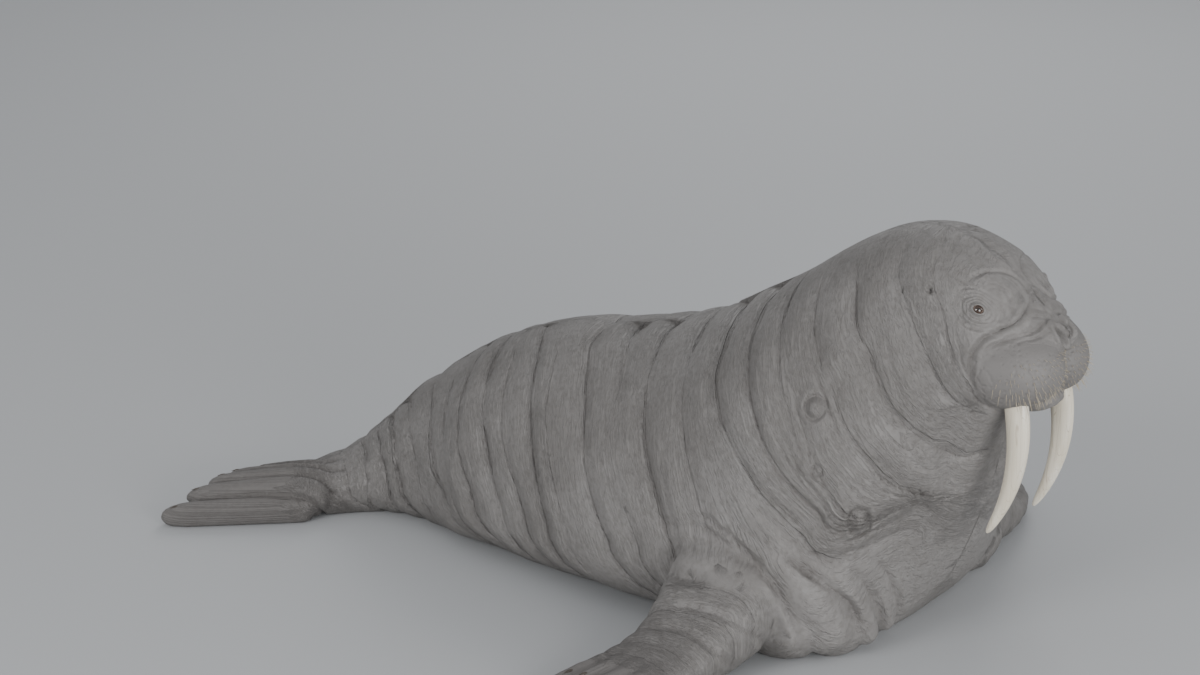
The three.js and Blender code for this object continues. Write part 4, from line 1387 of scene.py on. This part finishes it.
for share, value in ((near_pad, place.pad * 2.2), (near_dome, place.dome / 0.054),
                     (near_eye, place.eye / 0.054)):
    head_phase = np.where(share > 0.5, value, head_phase)
    whole = whole * np.where(place.on_head > 0.5, sure(share), 1)
head_flow = np.stack([head_phase, place.mirrored[:, 2] / 0.06, place.side * 3.0], 1)
flow = np.where(place.on_head[:, None] > 0.5, head_flow, flow)
give(hide, "flow", flow)
strength = ring_height(place)[1] * (1 - place.on_head) * (1 - place.on_foot)
strength = np.where(place.on_arm > 0.5, 0.5 * window(f, 0.38, 0.46, 0.7, 0.8), strength)
# strength of the creases: how dark the painted shade along them is and how deep their bump
give(hide, "crease", strength * sure(place.on_arm))
on_pad = (1 - ease(place.pad, 1.02, 1.10)) * place.on_head
# the folds of the face are cut in the mesh, so its fine lines are fainter
lined = 0.5 * (1 - place.on_head * (0.30 + 0.40 * near_pad)) * whole
give(hide, "lined", lined * (1 - on_pad * (1 - ease(place.straight[:, 2], 1.03, 1.09))))
bare = np.maximum(place.on_foot, ease(place.arm[:, 0], 0.55, 0.8))
give(hide, "parts", np.stack([on_pad, bare, 0 * bare], 1))
print("attributes:", [a.name for a in hide.data.attributes if a.domain == "POINT"])


# %% Tying the hide to the frame
FLESH = ["head", "neck", "chest", "abdomen", "hindquarters", "tail", "lower_jaw"]
for name in SIDES:
    FLESH += [f"muzzle_pad_{name}", f"foreflipper_arm_{name}", f"foreflipper_hand_{name}",
              f"hind_flipper_{name}"]
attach(hide, "root")
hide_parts(*FLESH)
print("the hide stands for", len(FLESH), "nodes")


# %% [markdown]
# ## Materials
# The photo shows plain grey clay, so the colours come from the live animal. An old male is a
# pale grey brown, paler on the pads and darker on the bare flippers. Painted shade darkens the
# hollows of the folds and the bottoms of the ring creases, and painted light brightens the
# crests. The leather is grained, and fine lines follow its folds.

# %% Node helpers
def new_material(name, roughness, **sockets):
    """A material with its shader, and a helper that adds and links nodes."""
    material = bpy.data.materials.new(name)
    material.use_nodes = True
    tree = material.node_tree
    shader = tree.nodes["Principled BSDF"]
    shader.inputs["Roughness"].default_value = roughness
    for socket, value in sockets.items():
        shader.inputs[socket.replace("_", " ")].default_value = value

    def node(kind, inputs=(), **settings):
        made = tree.nodes.new("ShaderNode" + kind)
        for key, value in settings.items():
            setattr(made, key, value)
        for key, value in dict(inputs).items():
            if hasattr(value, "is_output"):
                tree.links.new(value, made.inputs[key])
            else:
                made.inputs[key].default_value = value
        return made

    return material, shader, node, tree.links.new


def mix_colours(node, share, first, second):
    """The first colour where share is 0, the second where it is 1."""
    made = node("Mix", data_type="RGBA", blend_type="MIX")
    for index, value in ((0, share), (6, first), (7, second)):
        if hasattr(value, "is_output"):
            made.id_data.links.new(value, made.inputs[index])
        else:
            made.inputs[index].default_value = value
    return made.outputs[2]


def noise(node, place, scale, detail, **more):
    """A noise texture's grey value."""
    sockets = {"Vector": place, "Scale": scale, "Detail": detail, **more}
    return node("TexNoise", sockets).outputs["Fac"]


def product(node, value, other, clamp=False):
    """Two values multiplied."""
    made = node("Math", {0: value, 1: other}, operation="MULTIPLY", use_clamp=clamp)
    return made.outputs[0]


def bump(node, height, strength, distance, under=None, invert=False):
    """A bump of some strength over a distance in metres, on top of another one."""
    sockets = {"Height": height, "Strength": strength, "Distance": distance}
    if under is not None:
        sockets["Normal"] = under
    return node("Bump", sockets, invert=invert).outputs[0]


def ramp(node, value, stops):
    """Smooth colour ramp through stops of place and grey level."""
    made = node("ValToRGB", {"Fac": value})
    made.color_ramp.interpolation = "EASE"
    elements = made.color_ramp.elements
    while len(elements) < len(stops):
        elements.new(0.5)
    for element, (where, level) in zip(elements, stops):
        element.position = where
        element.color = (level, level, level, 1)
    return made.outputs["Color"]


print("materials so far:", len(bpy.data.materials))


# %% Hide material
# two greys of the hide, speckles, muzzle pads, bare flippers, painted shade in the hollows of folds,
# painted light on crests, painted shade along the creases
HIDE_DARK, HIDE_PALE = (0.158, 0.150, 0.143, 1), (0.206, 0.197, 0.190, 1)
SPECKLES, PADS, BARE = (0.112, 0.101, 0.093, 1), (0.160, 0.152, 0.146, 1), (0.085, 0.078, 0.074, 1)
FOLD_SHADE, CREST_LIGHT, CREASE_SHADE = (0.060, 0.050, 0.045, 1), (0.22, 0.21, 0.20, 1), (0.045, 0.038, 0.034, 1)


def hide_material():
    """Patches and speckles of grey, darker on bare skin, with painted shade in the hollows of folds
    and along the creases and painted light on crests, under bumps of fine lines, creases, leather
    grain and pores."""
    material, shader, node, link = new_material("walrus hide", 0.58)

    def attribute(name):
        return node("Attribute", attribute_name=name).outputs

    spot = node("TexCoord").outputs["Object"]
    flow, hollow = attribute("flow")["Vector"], attribute("hollow")["Fac"]
    parts = node("SeparateXYZ", {0: attribute("parts")["Vector"]}).outputs
    patches = noise(node, spot, 2.6, 5, Roughness=0.6)
    speckle = noise(node, spot, 60, 3)
    colour = mix_colours(node, ramp(node, patches, ((0.35, 0), (0.65, 1))), HIDE_DARK, HIDE_PALE)
    colour = mix_colours(node, ramp(node, speckle, ((0.4, 0), (0.7, 0.35))), colour, SPECKLES)
    colour = mix_colours(node, parts["X"], colour, PADS)
    colour = mix_colours(node, product(node, parts["Y"], 0.55), colour, BARE)
    stripes = node("Mapping", {"Vector": flow, "Scale": (9.0, 1.1, 1.0)}).outputs[0]
    lines = noise(node, stripes, 1.0, 4, Roughness=0.65)
    line = ramp(node, lines, ((0.40, 1), (0.50, 0), (0.60, 1)))
    # painted shade in the hollows and painted light on the crests, by how hollow each place is
    for start, end, most, tone in ((0.05, 0.9, 0.26, FOLD_SHADE), (-0.05, -0.8, 0.35, CREST_LIGHT)):
        share = node("MapRange", {"Value": hollow, "From Min": start, "From Max": end,
                                  "To Max": most}).outputs[0]
        colour = mix_colours(node, share, colour, tone)
    # a thin line at the bottom of each ring crease, for painted shade in the colour and a cut in the
    # bump
    phase = node("SeparateXYZ", {0: flow}).outputs["X"]
    away = node("Math", {0: phase, 1: 0.5}, operation="PINGPONG").outputs[0]
    cut = ramp(node, away, ((0.0, 1), (0.035, 0)))
    cut = product(node, cut, attribute("crease")["Fac"], True)
    # painted shade along the creases
    colour = mix_colours(node, product(node, cut, 0.14), colour, CREASE_SHADE)
    link(colour, shader.inputs["Base Color"])
    grain = node("TexVoronoi", {"Vector": spot, "Scale": 170}, feature="SMOOTH_F1")
    relief = bump(node, product(node, line, attribute("lined")["Fac"]), 0.80, 0.006)
    relief = bump(node, cut, 0.7, 0.005, relief, True)
    relief = bump(node, grain.outputs["Distance"], 0.22, 0.002, relief)
    relief = bump(node, noise(node, spot, 420, 2), 0.15, 0.001, relief)
    link(relief, shader.inputs["Normal"])
    return material


hide.data.materials.append(hide_material())
print("hide's nodes:", len(hide.data.materials[0].node_tree.nodes))


# %% Floor material
FLOOR_COLOUR = (0.436, 0.446, 0.456, 1)
floor.data.materials.append(new_material("pale floor", 0.8, Base_Color=FLOOR_COLOUR)[0])
print("floor's colour:", FLOOR_COLOUR[:3])


# %% [markdown]
# ## Tusks, eyes, claws and whiskers
# Tusks are long teeth: oval, bowed, worn to a blunt point. Each follows one curve from inside
# the skull, with fine flutes along it.

# %% Tusks
TUSK_ROOT, TUSK_TIP = np.array((1.288, 0.1376, 0.840)), np.array((1.200, 0.1474, 0.415))
TUSK_BOW, TUSK_THICK, TUSK_POINT, TUSK_BURY = 0.081, 0.038, 0.010, 0.060


def tusk(side):
    """Oval rings along a curve of three points. The radius falls from root to point with f to
    the power one and a half, and rounds off at the end."""
    start, end = TUSK_ROOT * (1, side, 1), TUSK_TIP * (1, side, 1)
    knee = (start + end) / 2 + (TUSK_BOW, 0, 0)
    f = np.concatenate([np.linspace(-0.14, 0, 8)[:-1], np.linspace(0, 0.9, 70),
                        0.9 + 0.1 * np.sin(np.linspace(0, np.pi / 2, 14)[1:])])[:, None]
    g = np.maximum(f, 0)
    middle = (1 - g) ** 2 * start + 2 * g * (1 - g) * knee + g * g * end
    slope = unit(2 * (1 - g) * (knee - start) + 2 * g * (end - knee))
    middle = middle + slope * np.minimum(f, 0) * TUSK_BURY / 0.14
    ahead = unit(np.cross((0, 1, 0), slope))
    out = np.cross(slope, ahead)
    round_off = np.sqrt(np.maximum(1 - g ** 26, 0))
    radius = (TUSK_THICK + (TUSK_POINT - TUSK_THICK) * g ** 1.5) * (0.05 + 0.95 * round_off)
    angle = circle(72)[None]
    flutes = 1 - 0.012 * np.cos(5 * angle + 1.5 * side) - 0.008 * np.cos(9 * angle + g * 4)
    wide = (radius * flutes)[..., None]
    rings = middle[:, None] + ahead[:, None] * 1.1 * wide * np.cos(angle)[..., None] \
        + out[:, None] * 0.82 * wide * np.sin(angle)[..., None]
    return shell(posed(rings.reshape(-1, 3)).reshape(rings.shape) + ORIGIN)


def ivory_material():
    """Stains drawn out along the tooth, with long fine cracks."""
    material, shader, node, link = new_material("ivory", 0.34, Coat_Weight=0.15)
    spot = node("TexCoord").outputs["Object"]
    long = node("Mapping", {"Vector": spot, "Scale": (26, 26, 1.6)}).outputs[0]
    stain = noise(node, long, 1.0, 6, Roughness=0.6)
    colour = mix_colours(node, ramp(node, stain, ((0.38, 0), (0.72, 1))),
                         (0.68, 0.62, 0.50, 1), (0.80, 0.76, 0.66, 1))
    cracks = node("Mapping", {"Vector": spot, "Scale": (70, 70, 2.2)}).outputs[0]
    cells = node("TexVoronoi", {"Vector": cracks, "Scale": 1.0}, feature="DISTANCE_TO_EDGE")
    edge = cells.outputs["Distance"]
    crack = product(node, ramp(node, edge, ((0.0, 1), (0.03, 0))), 0.5)
    colour = mix_colours(node, crack, colour, (0.34, 0.26, 0.17, 1))
    link(colour, shader.inputs["Base Color"])
    relief = bump(node, edge, 0.12, 0.001, bump(node, stain, 0.25, 0.001))
    link(relief, shader.inputs["Normal"])
    return material


ivory = ivory_material()
for name, side in SIDES.items():
    piece = new_mesh(f"tusk_{name}_ivory", *tusk(side))
    shade_smooth(piece, ivory)
    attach(piece, "root")
    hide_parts(f"tusk_{name}")
    print(piece.name, len(piece.data.polygons))


# %% Eyes
def eyeball(centre, ahead, up, out):
    """A ball with a raised cornea: rings of latitude from the middle of the pupil back."""
    polar = np.linspace(0.01, np.pi - 0.01, 72)[:, None]
    around = circle(72)[None]
    radius = EYE_RADIUS + 0.0012 * hump(polar, 0.42)
    flat = (radius * np.sin(polar))[..., None]
    rings = centre + flat * (np.cos(around)[..., None] * ahead + np.sin(around)[..., None] * up) \
        + (radius * np.cos(polar))[..., None] * out
    return shell(rings + ORIGIN), np.concatenate([np.repeat(polar, 72), [0, np.pi]])


def eye_material():
    """Pupil, iris and the brown rim round it, by the angle from the middle of the pupil."""
    material, shader, node, link = new_material("wet eye", 0.06, Coat_Weight=1.0)
    look = node("Attribute", attribute_name="look").outputs["Fac"]
    veins = noise(node, node("TexCoord").outputs["Object"], 260, 4)
    white = mix_colours(node, ramp(node, veins, ((0.45, 0), (0.7, 1))),
                        (0.20, 0.15, 0.12, 1), (0.14, 0.07, 0.05, 1))
    iris = mix_colours(node, ramp(node, veins, ((0.4, 0), (0.65, 1))),
                       (0.022, 0.011, 0.007, 1), (0.055, 0.028, 0.015, 1))
    colour = mix_colours(node, ramp(node, look, ((0.66, 0), (0.72, 1))), iris, white)
    colour = mix_colours(node, ramp(node, look, ((0.17, 1), (0.20, 0))), colour,
                         (0.004, 0.003, 0.003, 1))
    link(colour, shader.inputs["Base Color"])
    return material


wet = eye_material()
for name, side in SIDES.items():
    (points, triangles), polar = eyeball(*eye_frames[name])
    piece = new_mesh(f"eye_{name}_ball", points, triangles)
    give(piece, "look", polar)
    shade_smooth(piece, wet)
    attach(piece, "root")
    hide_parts(f"eye_{name}")
    print(piece.name, len(piece.data.polygons))


# %% [markdown]
# The claws are small and lie on the toes, a little behind the tips. The whiskers are stiff and
# short, worn down to stubs near the mouth. Both kinds are bowed cones that stand on the hide.

# %% Cones and places on the hide
def cones(roots, ways, bows, lengths, radii, sides=6, rings=6):
    """Bowed cones as one shell: the middle runs from the root along its way, bent by the bow
    times the square of the share s, and the radius falls from full to a third."""
    s = np.linspace(0, 1, rings)[None, :, None]
    long = lengths[:, None, None]
    middle = roots[:, None] + ways[:, None] * s * long + bows[:, None] * s ** 2 * long
    across = unit(np.cross(ways, (0.21, 0.34, 0.92)))
    other = np.cross(ways, across)
    angle = circle(sides)[None, :, None]
    spoke = across[:, None] * np.cos(angle) + other[:, None] * np.sin(angle)
    width = radii[:, None, None] * (1 - 0.67 * s ** 1.5)
    points = middle[:, :, None] + spoke[:, None] * width[..., None]
    count = len(roots)
    tips = middle[:, -1] + ways * radii[:, None]
    points = np.concatenate([points.reshape(count, -1, 3), tips[:, None]], 1)
    last = (rings - 1) * sides + np.arange(sides)
    cap = np.stack([last, np.roll(last, -1), np.full(sides, rings * sides)], -1)
    one = np.vstack([wall(rings, sides), cap])
    starts = np.arange(count) * points.shape[1]
    return points.reshape(-1, 3), (one[None] + starts[:, None, None]).reshape(-1, 3)


def on_hide(points, reach=0.05):
    """The hide's own point nearest to each point, with its normal."""
    found = []
    for point in points:
        near = np.nonzero((np.abs(skin - point) < reach).all(1))[0]
        found.append(near[distance(skin[near], point).argmin()] if len(near) else 0)
    return skin[found], normal[found]


print("a cone has", len(wall(6, 6)) + 6, "triangles")


# %% Claws
def mottled(name, roughness, scale, detail, dark, pale, relief=0):
    """A material of two colours mixed by noise, with the same noise as its relief."""
    material, shader, node, link = new_material(name, roughness)
    grain = noise(node, node("TexCoord").outputs["Object"], scale, detail)
    link(mix_colours(node, grain, dark, pale), shader.inputs["Base Color"])
    if relief:
        link(bump(node, grain, relief, 0.001), shader.inputs["Normal"])
    return material


# length of a claw, its radius as a share of that, how far it is sunk in and how it bows
CLAW_LENGTHS, CLAW_SHARE, CLAW_SUNK, CLAW_BOW = {"fore": 0.034, "hind": 0.026}, 0.2, 0.005, -0.35


def fore_claws(side, name):
    """Places and ways of the claws on the back of a foreflipper, one on each digit."""
    u = np.linspace(-0.8, 0.8, DIGITS)
    f = 0.86 + 0.02 * u
    middle, along, lead = limb_path(FOREFLIPPERS[name], side, f, True)
    flat = middle + lead * (u * 0.17)[:, None]
    high = 0.055 * (1 - np.abs(u) ** 3) + 0.02
    return np.column_stack([flat, high]), np.column_stack([along, 0 * u])


def hind_claws(side):
    """Places and ways of the claws of a hind flipper: on top of each toe, short of its tip."""
    lines = np.array([toe_line(digit, side) for digit in HIND_TOES])
    tip, back = lines[:, 2], lines[:, 1]
    way = unit(tip - back)
    return tip - way * 0.055 + (0, 0, 0.05), way


horn = mottled("horn", 0.35, 140, 3, (0.036, 0.028, 0.022, 1), (0.084, 0.069, 0.057, 1), 0.25)
for name, side in SIDES.items():
    for limb, (spots, ways) in (("fore", fore_claws(side, name)), ("hind", hind_claws(side))):
        roots, out = on_hide(spots + ORIGIN)
        ways = unit(ways + 0.35 * out)
        count = len(roots)
        size = np.full(count, CLAW_LENGTHS[limb])
        bows = np.tile((0, 0, CLAW_BOW), (count, 1))
        claw = cones(roots - out * CLAW_SUNK, ways, bows, size, size * CLAW_SHARE, 8, 7)
        piece = new_mesh(f"claws_{limb}_{name}", *claw)
        shade_smooth(piece, horn)
        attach(piece, "root")
        print(piece.name, count)


# %% Whiskers
WHISKER_RADIUS, WHISKER_SUNK, WHISKER_BOW = 0.0009, 0.002, -0.22
# rows and columns of whiskers on a pad, and the steps between them in degrees
WHISKER_ROWS, WHISKER_COLUMNS, ROW_STEP, COLUMN_STEP = 9, 20, 9.0, 8.0


def whisker_roots(side):
    """Rows across a pad's front: directions from the pad's middle, by the angle down from the
    top and the angle round from the front, a half step off in every other row."""
    row, column = np.meshgrid(np.arange(WHISKER_ROWS), np.arange(WHISKER_COLUMNS), indexing="ij")
    down = np.radians(66 + ROW_STEP * row + draws.normal(size=row.shape) * 1.6)
    round_to = -30 + COLUMN_STEP * (column + 0.5 * (row % 2))
    round_to = np.radians(round_to + draws.normal(size=row.shape) * 1.6)
    keep = (np.degrees(round_to) < 118 - 6.0 * np.abs(row - 4)) & (down < np.radians(140))
    down, round_to = down[keep], round_to[keep]
    way = np.stack([np.sin(down) * np.cos(round_to), np.sin(down) * np.sin(round_to) * side,
                    np.cos(down)], 1)
    centre, half, axes = egg_frame(MUZZLE_PAD, side)
    return posed(centre + (way * half) @ axes.T), round_to, down


draws = np.random.default_rng(11)
straw = mottled("whisker", 0.4, 90, 2, (0.30, 0.25, 0.17, 1), (0.54, 0.47, 0.35, 1))
for name, side in SIDES.items():
    points, round_to, down = whisker_roots(side)
    roots, out = on_hide(points + ORIGIN)
    share = ease(np.degrees(round_to), -20, 80) * (0.4 + 0.6 * ease(np.degrees(down), 80, 120))
    lengths = (0.009 + 0.024 * share) * draws.uniform(0.6, 1.2, len(roots))
    ways = unit(out + (0.15, 0, -0.35) + draws.normal(size=out.shape) * 0.07)
    bows = np.tile((0, 0, WHISKER_BOW), (len(roots), 1))
    radii = np.full(len(roots), WHISKER_RADIUS)
    points, triangles = cones(roots - out * WHISKER_SUNK, ways, bows, lengths, radii)
    piece = new_mesh(f"whiskers_{name}", points, triangles)
    shade_smooth(piece, straw)
    # every whisker is one small patch at its root's place on the pad's own map
    per = len(points) // len(roots)
    local = np.arange(per) / per
    u = 0.25 + 0.22 * round_to / np.pi + (0.5 if side > 0 else 0)
    v = down / np.pi
    spot = np.stack([u[:, None] + 0.003 * (local * 7 % 1), v[:, None] + 0.003 * local[None]], -1)
    layer = piece.data.uv_layers.new(name="OFBake")
    layer.data.foreach_set("uv", spot.reshape(-1, 2)[triangles.ravel()].astype(np.float32).ravel())
    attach(piece, "root")
    print("whiskers", name, len(roots))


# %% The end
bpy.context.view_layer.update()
